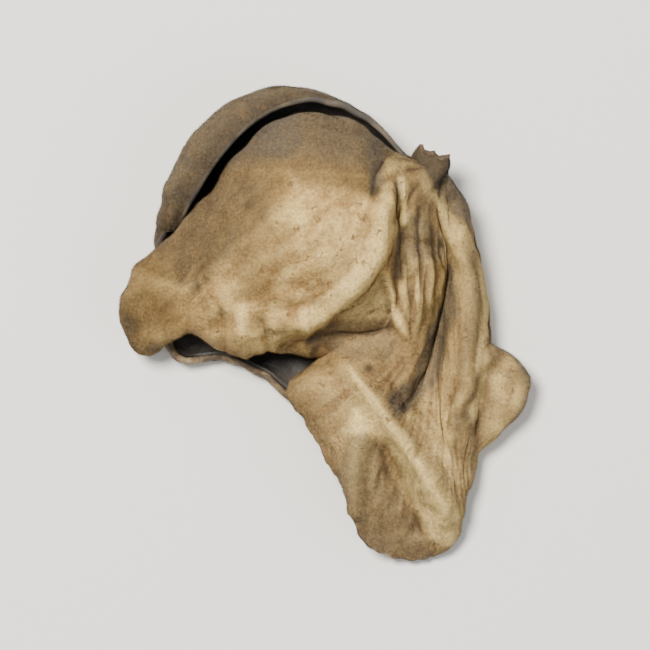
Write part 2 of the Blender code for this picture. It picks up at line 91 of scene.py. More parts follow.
# Each rib: degrees round the stub, six points from the stub to the margin, the margin's curl.
earRibs = {
    "tuck": (170, ((11.0, 27.0, 12.6), (5.2, 27.4, 11.6), (-1.9, 26.2, 10.4),
                   (-8.2, 21.0, 8.8), (-13.6, 14.6, 6.8), (-19.6, 8.6, 4.8)), (0.6, -0.2)),
    "edge": (154, ((10.4, 27.6, 14.2), (4.7, 31.2, 14.8), (-4.0, 30.2, 15.7),
                   (-10.4, 23.4, 14.0), (-16.2, 16.0, 11.0), (-22.2, 11.0, 7.2)), (0.6, -0.8)),
    "shoulder": (138, ((10.6, 27.2, 15.2), (4.8, 29.0, 19.4), (-3.0, 26.8, 20.8),
                       (-9.3, 20.0, 18.8), (-15.8, 13.4, 14.4), (-23.8, 8.8, 9.0)), (0.6, -1.4)),
    "tip": (124, ((11.0, 26.5, 15.8), (5.6, 26.0, 21.6), (-1.7, 22.6, 23.2),
                  (-8.9, 17.2, 20.8), (-15.4, 11.2, 15.6), (-25.2, 4.4, 8.6)), (0.6, -1.6)),
    "crown": (113, ((11.5, 25.8, 16.0), (6.6, 23.4, 22.0), (-1.0, 19.2, 24.0),
                    (-8.2, 14.4, 21.8), (-14.8, 8.6, 16.4), (-21.6, -1.4, 7.1)), (1.2, -1.6)),
    "lowerCrown": (103, ((12.0, 25.0, 16.2), (7.2, 21.0, 21.8), (2.2, 16.2, 23.4),
                         (-3.2, 11.3, 22.0), (-10.1, 7.2, 17.5), (-15.8, 3.2, 12.8)), (0.6, -1.4)),
    "crestTop": (94, ((12.2, 24.4, 16.4), (9.0, 19.8, 21.0), (6.8, 14.6, 21.8),
                      (2.6, 9.8, 20.6), (-3.6, 6.2, 17.4), (-10.4, -0.4, 11.1)), (0.6, -1.6)),
    "crest": (85, ((12.6, 23.6, 16.2), (10.6, 18.3, 19.6), (9.6, 12.9, 19.8),
                   (5.8, 8.3, 18.6), (0.0, 4.8, 15.8), (-5.4, -0.6, 9.4)), (0.6, -1.8)),
    "crestFlank": (76, ((13.4, 22.6, 15.6), (11.9, 17.2, 16.6), (11.0, 10.4, 15.6),
                        (7.9, 5.7, 13.6), (3.0, 3.4, 11.8), (-2.4, -0.2, 8.8)), (0.6, -1.6)),
    "valley": (67, ((14.2, 21.7, 14.8), (13.2, 15.9, 13.8), (12.6, 8.4, 11.8),
                    (10.0, 3.0, 9.8), (6.0, 1.2, 9.2), (3.4, -1.6, 7.2)), (0.6, -1.0)),
    "pleat": (58, ((14.9, 20.9, 14.6), (14.6, 14.8, 14.6), (13.9, 7.6, 12.4),
                   (11.4, 1.6, 9.6), (6.4, -1.8, 12.0), (-2.0, -5.2, 9.0)), (0.8, -0.9)),
    "dip": (49, ((15.5, 20.3, 13.8), (15.6, 14.1, 12.9), (14.9, 6.0, 10.8),
                 (12.4, -0.4, 9.2), (8.0, -4.2, 12.8), (0.2, -9.4, 9.2)), (0.8, -0.9)),
    "secondPleat": (40, ((16.2, 19.8, 13.4), (16.6, 13.6, 12.9), (15.9, 4.4, 10.4),
                         (13.6, -2.4, 8.4), (9.6, -6.6, 13.0), (3.0, -14.0, 9.0)), (0.8, -0.9)),
    "litEnd": (30, ((16.9, 19.5, 12.5), (17.6, 13.2, 11.2), (16.8, 2.8, 8.2),
                    (14.8, -4.4, 7.4), (11.4, -9.0, 12.8), (6.2, -20.2, 10.0)), (0.6, -0.9)),
    "noseTop": (20, ((17.5, 19.3, 11.6), (18.5, 12.8, 9.6), (17.6, 1.2, 6.6),
                     (16.0, -6.2, 7.0), (13.2, -11.6, 12.2), (8.4, -25.4, 7.0)), (0.0, -0.4)),
    "nose": (10, ((18.1, 19.1, 11.0), (19.3, 12.6, 8.6), (18.3, -0.2, 5.8),
                  (17.2, -8.2, 7.4), (15.0, -14.6, 11.4), (12.2, -28.0, 3.6)), (0.0, -0.4)),
    "noseLow": (1, ((18.8, 19.1, 10.6), (20.0, 12.6, 8.1), (19.1, -1.4, 5.8),
                    (18.6, -10.2, 8.0), (17.2, -17.8, 10.2), (16.4, -28.4, 2.0)), (0.0, -0.4)),
    "noseCrest": (-8, ((19.5, 19.2, 10.6), (20.7, 12.7, 8.3), (20.0, -1.8, 7.4),
                       (19.8, -11.2, 7.8), (19.2, -20.0, 8.2), (20.0, -27.0, 2.4)), (0.2, -0.6)),
    "gutter": (-18, ((20.3, 19.5, 10.8), (21.4, 12.9, 10.0), (21.3, -0.8, 9.6),
                     (21.2, -9.6, 8.6), (20.8, -18.0, 6.6), (21.6, -23.8, 3.6)), (0.4, -0.4)),
    "rightCrest": (-28, ((21.1, 19.9, 10.8), (22.4, 13.3, 10.4), (23.0, 2.6, 10.0),
                         (22.8, -6.0, 8.8), (21.8, -13.6, 7.0), (22.0, -20.8, 4.6)), (0.4, -0.2)),
    "rightFlank": (-39, ((21.6, 20.4, 9.2), (23.3, 13.6, 8.4), (24.5, 3.8, 7.2),
                         (24.6, -4.8, 5.6), (23.2, -13.2, 5.2), (22.5, -19.6, 3.6)), (0.6, 0.0)),
    "tab": (-51, ((21.4, 20.9, 6.9), (23.2, 14.0, 5.2), (24.9, 4.4, 4.4),
                  (25.6, -5.2, 4.8), (23.6, -13.4, 3.2), (22.0, -19.2, 2.2)), (0.6, 0.2)),
    "underRight": (-64, ((19.8, 21.0, 4.9), (20.8, 14.6, 2.2), (22.6, 5.2, 0.9),
                         (23.6, -5.6, 1.4), (21.0, -13.6, 0.5), (18.4, -20.2, 1.2)), (0.8, 0.4)),
    "underNose": (-76, ((16.8, 21.0, 3.9), (16.4, 14.6, 1.2), (15.6, 6.8, 0.4),
                        (14.2, -1.8, 0.4), (12.4, -9.4, 0.6), (10.4, -16.8, 1.4)), (0.8, 0.4)),
    "underNotch": (-92, ((14.2, 21.8, 3.6), (12.0, 17.4, 1.5), (8.9, 11.5, 0.4),
                         (5.4, 4.6, 0.5), (1.0, -1.2, 1.2), (-4.4, -5.0, 2.4)), (0.8, 0.4)),
    "underLow": (-108, ((12.4, 23.0, 3.9), (8.0, 19.7, 2.0), (2.4, 14.4, 0.6),
                        (-2.9, 8.6, 0.4), (-7.4, 2.6, 0.8), (-11.0, -2.0, 2.6)), (0.8, 0.5)),
    "underMiddle": (-124, ((11.4, 24.6, 4.3), (6.2, 22.1, 2.5), (-0.5, 17.8, 0.9),
                           (-7.2, 12.5, 0.4), (-13.2, 5.8, 0.7), (-18.4, -1.8, 2.7)), (1.0, 0.4)),
    "underTop": (-142, ((11.0, 26.4, 5.2), (4.8, 25.9, 3.5), (-2.9, 23.5, 2.0),
                        (-9.9, 17.8, 1.1), (-15.2, 11.6, 1.2), (-20.0, 5.6, 2.7)), (1.0, 0.4)),
    "outerWall": (-160, ((10.9, 28.2, 6.9), (3.8, 32.4, 6.0), (-4.9, 32.9, 5.0),
                         (-12.4, 28.2, 4.5), (-17.2, 20.8, 4.2), (-19.4, 13.0, 3.2)), (0.8, 0.6)),
    "rollTop": (-176, ((11.4, 28.9, 8.8), (3.8, 34.2, 10.6), (-4.6, 34.6, 12.0),
                       (-12.2, 30.0, 12.6), (-17.0, 23.2, 11.0), (-19.3, 16.0, 6.6)), (0.6, 0.2)),
    "rollRim": (-188, ((11.6, 28.9, 10.6), (5.0, 33.5, 12.6), (-3.3, 33.0, 13.3),
                       (-9.6, 28.2, 14.0), (-14.2, 22.0, 12.0), (-17.2, 16.4, 7.4)), (0.4, -0.6)),
}


def softStep(value):
    value = np.clip(value, 0.0, 1.0)
    return value * value * (3 - 2 * value)


def stubRing(degrees):
    axis = Vector(earShape["stubAxis"]).normalized()
    side = Vector((axis.y, -axis.x, 0.0)).normalized()
    up = side.cross(axis).normalized()
    turn = math.radians(degrees)
    flutes = sum(depth * math.cos(count * turn + start)
                 for count, depth, start in earShape["stubFlutes"])
    radius = earShape["stubRadius"] * 1000 * (1 + flutes)
    return Vector(earShape["stubCentre"]) + (side * math.cos(turn) + up * math.sin(turn)) * radius


def ribCage():
    axis = Vector(earShape["stubAxis"]).normalized()
    cage = []
    for degrees, points, (inward, upward) in earRibs.values():
        start = stubRing(degrees)
        root = start - axis * earShape["neck"]
        stations = [Vector(point) for point in points]
        home = start - stations[-1]
        home.z = 0.0
        margin = stations[-1] + home.normalized() * inward + Vector((0.0, 0.0, upward))
        stations[-1] = stations[-2].lerp(stations[-1], earShape["lastStation"])
        cage.append([start, root] + stations + [margin])
    return np.array(cage)


def tightened(wanted):
    points = wanted.copy()
    for _ in range(earShape["tighten"]):
        smoothed = (points[:-2] + 4 * points[1:-1] + points[2:]) / 6
        points[1:-1] += wanted[1:-1] - smoothed
    return points


def smoothLine(points, count):
    first = 2 * points[0] - points[1]
    last = 2 * points[-1] - points[-2]
    points = np.concatenate(([first], points, [last]))
    spans = len(points) - 3
    position = np.linspace(0.0, spans, count + 1)
    index = np.minimum(position.astype(int), spans - 1)
    t = (position - index).reshape((-1,) + (1,) * (points.ndim - 1))
    weights = ((1 - t) ** 3, 3 * t ** 3 - 6 * t ** 2 + 4, -3 * t ** 3 + 3 * t ** 2 + 3 * t + 1, t ** 3)
    return sum(weight * points[index + step] for step, weight in enumerate(weights)) / 6


# The big folds: height in millimetres (a groove is negative), spread to the left and right of the
# line as it runs, the line from above.
earFolds = {
    "crest": (1.9, (2.2, 5.0), ((12.2, 22.8), (10.7, 18.1), (10.1, 13.2), (7.6, 9.7), (5.2, 7.2),
        (2.4, 5.0), (-1.0, 4.4))),
    "valley": (-1.1, (2.0, 2.4), ((-1.5, 1.6), (1.2, 3.0), (6.0, 2.6), (10.0, 2.8), (12.6, 3.6))),
    "endRidge": (2.2, (3.6, 2.2), ((5.6, -1.4), (9.6, -6.8), (12.6, -11.2), (16.0, -15.8),
        (19.0, -20.6), (20.6, -24.0))),
    "litEdge": (1.5, (2.2, 4.0), ((9.4, -10.6), (7.6, -13.0), (7.0, -18.0), (7.8, -23.6))),
    "endHollow": (-2.6, (3.2, 4.6), ((10.6, -12.2), (12.8, -16.2), (15.4, -20.8), (17.0, -25.6))),
    "gutter": (-1.8, (3.4, 3.2), ((20.8, 12.8), (20.2, 9.0), (19.2, 5.4), (17.8, 1.0), (17.0, -2.6),
        (15.6, -5.6), (13.2, -8.4))),
    "stubHollow": (-1.3, (2.6, 2.6), ((12.8, 15.4), (16.0, 14.6), (19.4, 14.0))),
    "stubGroove": (-1.0, (1.8, 1.8), ((11.0, 25.6), (9.8, 23.6), (9.5, 20.4))),
    "topPleat": (0.7, (1.4, 1.4), ((13.7, 22.8), (13.8, 19.6), (14.0, 16.6))),
    "firstPleat": (0.7, (1.8, 1.2), ((10.8, 12.0), (11.5, 9.4), (12.9, 5.4), (14.4, 1.8))),
    "secondPleat": (0.6, (1.3, 1.3), ((15.2, 13.6), (15.7, 10.6), (15.8, 7.0), (15.6, 4.6))),
    "thirdPleat": (0.5, (1.2, 1.2), ((17.1, 13.4), (17.5, 9.8), (17.2, 6.6))),
    "rightCrest": (0.7, (1.8, 1.8), ((17.6, 21.4), (19.4, 18.6), (21.2, 14.6), (22.6, 10.6))),
    "tabCrest": (0.7, (1.6, 1.6), ((24.2, 0.0), (22.4, -5.6), (21.0, -9.7), (19.9, -13.0))),
}

# Smaller creases that only show from near, in the same form, with how sharp they are before the line.
earCreases = {
    "crestLine": (0.90, 1.5, 1.0, ((12.0, 21.6), (10.7, 18.1), (10.1, 13.2), (7.6, 9.7), (5.2, 7.2),
        (2.4, 5.0), (-1.6, 4.4), (-5.0, 4.2))),
    "valleyLine": (-0.40, 0.9, 1.0, ((0.4, 2.2), (2.6, 2.6), (6.0, 2.4), (10.0, 2.5), (12.8, 3.3))),
    "facetStep": (-0.30, 1.3, 1.4, ((11.0, 10.8), (9.8, 8.0), (8.8, 5.0))),
    "facetEdge": (0.40, 0.8, 1.0, ((10.8, 11.6), (11.6, 9.0), (13.0, 5.2), (14.4, 1.6))),
    "endFacet": (0.50, 1.4, 1.1, ((9.3, -10.8), (7.6, -12.8), (7.1, -18.0), (7.4, -23.0))),
    "endRidgeLine": (0.26, (2.2, 0.8), 1.0, ((6.0, -2.0), (9.6, -6.8), (12.6, -11.2), (16.0, -15.8),
        (19.0, -20.6), (20.6, -24.0))),
    "endCrumple": (-0.20, 1.3, 1.4, ((10.0, -11.6), (11.8, -15.6), (14.2, -20.4), (15.6, -25.0))),
    "endPleatA": (0.30, 0.8, 1.1, ((3.0, -9.0), (5.4, -12.6), (6.4, -17.0))),
    "endPleatB": (-0.28, 0.9, 1.2, ((15.4, -9.6), (17.4, -13.2), (20.0, -17.6))),
    "endPleatC": (0.26, 0.7, 1.1, ((17.0, -8.2), (18.8, -12.4), (20.6, -16.4))),
    "tabDip": (-0.42, 2.0, 1.4, ((25.4, -1.4), (27.4, -4.6), (26.6, -8.4))),
    "tabPleatA": (0.30, 0.8, 1.1, ((24.4, -3.4), (26.4, -4.2), (28.8, -4.4))),
    "tabPleatB": (0.26, 0.8, 1.1, ((23.8, -6.6), (25.8, -7.6), (27.8, -8.4))),
    "pleatA": (0.32, 0.7, 1.1, ((12.9, 23.6), (13.4, 20.2), (13.7, 16.8))),
    "pleatB": (0.40, 0.6, 1.1, ((15.1, 12.4), (15.6, 9.0), (15.7, 5.9))),
    "pleatC": (0.34, 0.5, 1.1, ((17.2, 13.0), (17.4, 9.4), (17.0, 6.1))),
    "pleatD": (-0.30, 0.6, 1.2, ((14.0, 14.0), (14.4, 10.4), (14.8, 6.4))),
    "pleatE": (-0.30, 0.6, 1.2, ((16.3, 14.6), (16.5, 11.4), (16.4, 7.4))),
    "pleatF": (0.30, 0.5, 1.1, ((18.3, 13.0), (18.8, 10.2), (18.3, 7.4))),
    "pleatG": (0.28, 0.5, 1.1, ((13.0, 13.2), (13.0, 10.2), (13.7, 7.2))),
    "stubCreaseA": (-0.40, 0.8, 1.2, ((12.5, 22.6), (12.4, 19.8), (12.7, 17.4))),
    "stubCreaseB": (0.34, 0.8, 1.1, ((17.4, 21.6), (19.2, 18.6), (21.0, 14.8), (22.2, 12.0))),
    "stripEdge": (0.30, 0.8, 1.0, ((24.3, -1.3), (21.9, -6.4), (19.8, -12.7), (19.2, -16.4))),
    "stripA": (0.34, 0.7, 1.1, ((21.6, 14.6), (22.8, 9.0), (23.0, 2.0), (22.4, -5.0))),
    "stripB": (-0.34, 0.8, 1.2, ((21.8, 9.6), (21.9, 3.0), (21.4, -3.0), (20.2, -10.0))),
    "stripC": (0.26, 0.6, 1.1, ((24.2, 9.6), (24.8, 4.4), (24.6, -0.6))),
    "stripD": (-0.28, 0.7, 1.2, ((23.4, 12.6), (24.0, 7.0), (23.9, 1.0))),
    "gutterLine": (-0.34, 1.1, 1.0, ((20.9, 12.0), (20.2, 9.0), (19.2, 5.4), (17.8, 1.0),
        (16.9, -2.6), (15.4, -5.6), (13.0, -8.4))),
    "gatherA": (-0.55, 1.0, 1.3, ((-10.3, -1.0), (-10.4, 3.4), (-10.8, 7.2))),
    "gatherB": (0.48, 1.1, 1.2, ((-7.4, -1.6), (-7.7, 3.0), (-8.0, 7.6))),
    "gatherC": (-0.34, 0.9, 1.3, ((-4.4, -0.6), (-4.9, 3.0), (-5.2, 6.4))),
    "gatherD": (0.36, 1.2, 1.2, ((0.2, 1.0), (0.8, 4.0), (0.6, 6.6))),
    "tipFold": (-0.36, 1.3, 1.3, ((-22.6, 0.6), (-20.4, 4.6), (-16.6, 6.6))),
    "tipRidge": (0.34, 1.2, 1.2, ((-24.6, 6.6), (-20.8, 8.4), (-16.2, 8.6))),
    "flankDip": (-0.40, 2.2, 1.6, ((-16.4, 8.6), (-12.4, 11.6), (-8.6, 15.6), (-6.6, 20.8))),
    "domeDip": (-0.30, 2.6, 1.8, ((-4.0, 9.6), (1.0, 12.2), (4.4, 16.4))),
    "pit": (-0.50, 1.2, 1.6, ((-14.8, 9.6), (-14.1, 8.8), (-13.6, 7.8))),
}


def lineDistance(places, line):
    steps = np.diff(line, axis=0)
    lengths = np.linalg.norm(steps, axis=1)
    starts = np.concatenate(([0.0], np.cumsum(lengths)))
    best = np.full(places.shape[:2], np.inf)
    along = np.zeros(places.shape[:2])
    left = np.zeros(places.shape[:2], bool)
    for corner, step, length, start in zip(line, steps, lengths, starts):
        offset = places - corner
        share = np.clip((offset @ step) / length ** 2, 0.0, 1.0)
        away = np.linalg.norm(offset - share[..., None] * step, axis=-1)
        nearer = away < best
        along = np.where(nearer, (start + share * length) / starts[-1], along)
        left = np.where(nearer, step[0] * offset[..., 1] > step[1] * offset[..., 0], left)
        best = np.minimum(best, away)
    return best, along, left


def ribPosition(grid):
    return np.linspace(0.0, len(earRibs) - 1, len(grid))[:, None]


def upperSide(grid, before=0.0, further=0.0):
    # 1 on the upper flap, falling to 0 round both of its edges
    first, last = earRelief["foldSides"]
    ribs = ribPosition(grid)
    return softStep(ribs - first + before) * softStep(last + 1 + further - ribs)


def foldLift(places, folds):
    lift = np.zeros(places.shape[:2])
    for height, spread, *sharpness, line in folds.values():
        away, along, left = lineDistance(places, np.array(line))
        leftSpread, rightSpread = np.broadcast_to(spread, 2)
        ends = softStep(np.minimum(along, 1 - along) / earRelief["foldFade"] + earRelief["foldEnds"])
        share = np.clip(1 - away / np.where(left, leftSpread, rightSpread), 0.0, 1.0)
        lift += height * ends * share ** (sharpness[0] if sharpness else 2.0)
    return lift


def shareSeam(values):
    joined = slice(0, earShape["joinedRows"] + 1)
    seam = (values[0, joined] + values[-1, joined]) / 2
    values[0, joined] = seam
    values[-1, joined] = seam


# The unevenness of the sheet: heights and sizes in metres, ways along the sheet as shares of it.
earRelief = {
    "ripple": (0.00045, 0.0065, 3.0),      # height, size, seed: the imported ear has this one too
    "rippleRise": 0.3,                     # share of the way to the margin where it is full
    "frill": (0.00080, 0.0042, 11.0),      # at the margin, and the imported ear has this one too
    "frillReach": 0.22,
    "gathers": 11,
    "gather": 0.00020,
    "gatherSway": (1.6, 7),                # how far and how often the gathers wind
    "gatherRise": (0.15, 0.8),
    "gatherReach": 0.40,
    "dents": (0.00030, 0.0026, 23.0),      # shallow dents in the whole sheet
    "nibble": (0.00060, 0.0046, 41.0),     # how far the margin runs in and out
    "bite": (0.00040, 0.0013, 47.0),
    "marginReach": 0.13,
    "torn": (0.00110, 0.0016, 53.0),       # how unevenly the stub's end is torn
    "tornReach": 0.070,
    "tornNarrow": 0.22,
    "foldSides": (1, 20),                  # first and last rib of the upper flap
    "creasesPast": 0.7,                    # how many ribs the small creases run past it
    "foldFade": 0.16,                      # share of a fold over which its ends fade
    "foldEnds": 0.25,                      # what is left of it at the very end
    "tab": {"rib": 21, "spread": 1.5, "middle": -4.8, "above": 5.5, "below": 9.0,
            "reach": 4.9, "lift": 1.2},
    "wrinkles": ((26, 5.0, 0.00019), (58, 8.0, 0.00016), (120, 13.0, 0.00011)),  # round, out, height
    "wrinkleSeeds": (71.0, 97.0),          # on the back and on the face
    "wrinkleLater": (0.12, 0.16, 0.25),    # finer ones start here, each this much later, and rise so
    "wrinkleFall": (0.5, 0.5, 0.4),        # share the broad ones lose, from here on, over this
    "wrinkleRidge": 2.2,                   # how narrow the ridges are
    "wrinkleFree": (0.05, 0.2),            # none this near the stub, full this far on
    "faceWrinkle": 0.8,
    "fineRise": 0.15,
    "pebble": (0.000055, 0.00085, 61.0),   # fine unevenness of the back alone
}


def middleSurface():
    ribs = smoothLine(tightened(ribCage()), earShape["columns"])
    grid = smoothLine(tightened(ribs.transpose(1, 0, 2)), earShape["rows"]).transpose(1, 0, 2)
    shareSeam(grid)
    grid[..., 2] += foldLift(grid[..., :2], earFolds) * upperSide(grid)
    tab = earRelief["tab"]
    near = softStep(1 - abs(ribPosition(grid) - tab["rib"]) / tab["spread"])
    away = grid[..., 1] - tab["middle"]
    share = away / np.where(away > 0, tab["above"], tab["below"])
    bulge = near * np.clip(1 - share ** 2, 0.0, 1.0)
    grid[..., 0] += tab["reach"] * bulge
    grid[..., 2] += tab["lift"] * bulge
    return grid * earShape["length"] / earShape["drawnLength"], grid[..., :2].copy()


def surfaceNormals(grid):
    normals = np.cross(np.gradient(grid, axis=1), np.gradient(grid, axis=0))
    return normals / np.linalg.norm(normals, axis=2, keepdims=True)


def noiseGrid(grid, size, seed):
    shift = Vector((seed, 0.0, 0.0))
    return np.array([[noise.noise(Vector(point) / size + shift) for point in column]
                     for column in grid])


def evened(values, passes):
    # the average with the neighbours, over and over
    for _ in range(passes):
        padded = np.pad(values, ((1, 1), (1, 1)) + ((0, 0),) * (values.ndim - 2), mode="edge")
        around = (padded[:-2, 1:-1] + padded[2:, 1:-1] + padded[1:-1, :-2] + padded[1:-1, 2:]) / 4
        values = (values + around) / 2
        shareSeam(values)
    return values


def calmNormals(grid):
    normals = evened(surfaceNormals(grid), earShape["calmPasses"])
    return normals / np.linalg.norm(normals, axis=2, keepdims=True)


def bendAlong(grid, normals, axis):
    # how sharply the sheet bends along its columns or rows, hollow towards the back is positive
    step = np.gradient(grid, axis=axis)
    turn = np.gradient(normals, axis=axis)
    return -(step * turn).sum(axis=2) / np.maximum((step ** 2).sum(axis=2), 1e-12)


def halfWall(grid, normals, wanted, side):
    room = np.full(wanted.shape, np.inf)
    for axis in (0, 1):
        bend = side * bendAlong(grid, normals, axis)
        room = np.minimum(room, earShape["foldRoom"] / np.maximum(bend, 1.0))
    return np.minimum(wanted, np.clip(room, earShape["thinnest"] / 2, None))


def dried(grid, u, v, places):
    # ripples, gathers at the stub and a waving margin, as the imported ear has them
    height, size, seed = earRelief["ripple"]
    rise = np.clip(v / earRelief["rippleRise"], 0.0, 1.0)
    lift = height * rise * noiseGrid(grid, size, seed)
    sway, turns = earRelief["gatherSway"]
    gather = np.sin(2 * math.pi * earRelief["gathers"] * u + sway * np.sin(turns * v))
    start, delay = earRelief["gatherRise"]
    gather *= np.clip(v / start - delay, 0.0, 1.0) * np.clip(1 - v / earRelief["gatherReach"], 0.0, 1.0)
    height, size, seed = earRelief["frill"]
    reach = earRelief["frillReach"]
    frill = np.clip((v - 1 + reach) / reach, 0.0, 1.0) ** 1.5
    lift += earRelief["gather"] * gather + height * frill * noiseGrid(grid, size, seed)
    # small creases and dents that only the looks have
    height, size, seed = earRelief["dents"]
    lift += height * rise * noiseGrid(grid, size, seed)
    lift += foldLift(places, earCreases) * upperSide(grid, 0.0, earRelief["creasesPast"]) * 0.001
    return grid + surfaceNormals(grid) * lift[..., None]


def tornStub(back, v):
    # the end of the stub narrows a little and is torn unevenly
    height, size, seed = earRelief["torn"]
    axis = np.array(Vector(earShape["stubAxis"]).normalized())
    share = np.clip(1 - v / earRelief["tornReach"], 0.0, 1.0)[..., None] ** 2
    middle = back[:, :1].mean(axis=0)[None]
    inward = middle - back[:, :1]
    run = noiseGrid(back[:, :1], size, seed)[..., None] * height
    return back + share * (axis * run + inward * earRelief["tornNarrow"])


def nibbled(grid, v):
    # the margin runs in and out along the ribs
    reach = earRelief["marginReach"]
    outward = grid[:, -1] - grid[:, -4]
    outward /= np.linalg.norm(outward, axis=1, keepdims=True)
    run = np.zeros(len(grid))
    for name in ("nibble", "bite"):
        height, size, seed = earRelief[name]
        run += height * noiseGrid(grid[:, -1:], size, seed)[:, 0]
    share = np.clip((v - 1 + reach) / reach, 0.0, 1.0) ** 2
    return grid + outward[:, None] * (run[:, None] * share)[..., None]


def wrinkleField(u, along, seed):
    # ridged wrinkles that run out from the stub and branch towards the margin
    far = along / along[:, -1:].max()
    field = np.zeros(far.shape)
    later, step, over = earRelief["wrinkleLater"]
    lost, start, length = earRelief["wrinkleFall"]
    bare, full = earRelief["wrinkleFree"]
    for order, (across, reach, height) in enumerate(earRelief["wrinkles"]):
        if order:
            share = softStep((far - later - step * order) / over)
        else:
            share = 1 - lost * softStep((far - start) / length)
        values = np.array([[noise.noise(Vector((x * across, y * reach, seed + 7 * order)))
                            for y in column] for x, column in zip(u[:, 0], far)])
        ridge = 1 - earRelief["wrinkleRidge"] * np.abs(values)
        field += height * share * ridge * softStep((far - bare) / full)
    return field


# Brown places on the back: stains, and painted shade on the left flank where the sheet turns from the
# light. Place, radius and strength, in millimetres from above.
earStainsAndShade = {
    "tip": (-23.4, 3.4, 5.6, 1.00),
    "tipRest": (-20.0, 6.0, 6.4, 0.85),
    "left": (-16.0, 13.4, 4.6, 0.75),
    "gatherA": (-11.6, 4.6, 1.3, 0.60),
    "gatherC": (-5.4, 5.0, 1.1, 0.65),
    "gatherE": (-2.6, 4.4, 1.1, 0.55),
    "streak": (-7.8, 19.0, 1.9, 0.75),
    "dome": (-3.5, 11.5, 3.2, 0.25),
    "lowerEdge": (-1.4, 0.6, 2.6, 0.50),
    "underCrest": (1.4, 1.8, 1.4, 0.90),
    "litEnd": (3.0, -8.0, 3.4, 0.30),
    "litLow": (5.4, -15.5, 3.0, 0.35),
    "right": (22.4, -10.0, 2.8, 0.65),
    "tabRim": (30.2, -3.2, 2.2, 0.75),
    "tabTop": (27.0, 0.4, 1.8, 0.65),
    "tabLow": (28.4, -9.0, 2.0, 0.60),
    "notch": (0.0, -7.5, 2.6, 0.45),
}

# Dark brown pits and worn places, and painted shade beside the stub, in the same form.
earPitsAndShade = {
    "flank": (-13.8, 8.5, 1.15, 0.72),
    "flankHigh": (-15.7, 9.6, 0.90, 0.55),
    "flankRight": (-12.4, 9.6, 0.85, 0.45),
    "gather": (-10.4, 5.8, 0.90, 0.62),
    "gatherLow": (-4.4, 3.6, 0.80, 0.60),
    "tip": (-22.9, 3.8, 1.60, 0.62),
    "tipEdge": (-19.9, 1.0, 1.20, 0.70),
    "underCrest": (0.9, 2.1, 0.85, 1.00),
    "underCrestLow": (1.8, 0.7, 0.75, 0.90),
    "lap": (8.9, -2.7, 0.65, 0.90),
    "dome": (3.0, 9.4, 0.80, 0.35),
    "brow": (-6.6, 19.6, 1.10, 0.45),
    "strip": (21.9, -8.6, 0.75, 0.60),
    "end": (15.0, -24.0, 1.00, 0.40),
    "tab": (26.4, -1.2, 1.10, 0.75),
    "topSide": (9.9, 24.4, 1.30, 0.55),
    "topSideHigh": (9.7, 27.2, 1.20, 0.50),
    "topSideLow": (9.7, 21.2, 1.10, 0.80),
    "stubSide": (20.0, 20.8, 1.50, 0.92),
    "stubHigh": (18.3, 22.8, 1.60, 1.00),
    "stubLow": (21.3, 17.8, 1.10, 0.40),
}

# Grey-brown bands in the folds: painted shade in the grooves and gaps, partly grime where the velvet is
# thin. Strength, spread to either side, line.
earGrimeAndShade = {
    "stripA": (0.50, (0.7, 0.7), ((22.6, 15.0), (22.9, 8.0), (22.4, 1.0), (21.6, -6.0))),
    "stripB": (0.50, (0.6, 0.6), ((25.6, 10.0), (26.0, 4.0), (25.4, -2.0))),
    "stripC": (0.45, (0.5, 0.5), ((21.4, -8.0), (20.8, -12.0), (20.2, -16.0))),
    "tabRim": (0.85, (1.3, 1.3), ((24.8, 0.4), (27.8, -0.2), (30.0, -2.2), (30.8, -5.2),
        (29.6, -9.0), (26.8, -12.2))),
    "tabFold": (0.60, (0.6, 0.6), ((28.0, -2.4), (28.6, -4.8), (28.2, -7.4))),
    "upperEdge": (0.95, (4.0, 0.9), ((-17.0, 16.8), (-14.0, 20.0), (-10.8, 23.8), (-7.4, 26.6),
        (-4.6, 28.8), (0.6, 30.4))),
    "valley": (0.68, (0.9, 1.9), ((0.6, 1.9), (2.6, 2.1), (6.0, 1.9), (10.0, 2.0), (12.8, 2.8))),
    "stubGroove": (0.85, (1.4, 1.4), ((10.6, 28.4), (9.8, 24.0), (9.6, 20.8))),
    "stubSlot": (0.90, (0.7, 0.7), ((12.6, 22.8), (12.4, 20.8), (12.6, 18.6))),
    "pleatGap": (0.60, (0.8, 0.8), ((14.2, 13.8), (14.3, 11.0), (14.7, 6.4))),
    "secondGap": (0.60, (0.7, 0.7), ((16.4, 13.8), (16.5, 11.0), (16.4, 7.0))),
    "strip": (0.45, (0.7, 0.7), ((22.6, 10.0), (22.8, 4.0), (22.2, -3.0))),
    "stripBase": (0.50, (0.6, 0.9), ((24.4, 0.4), (22.8, -5.4), (21.4, -10.0))),
}
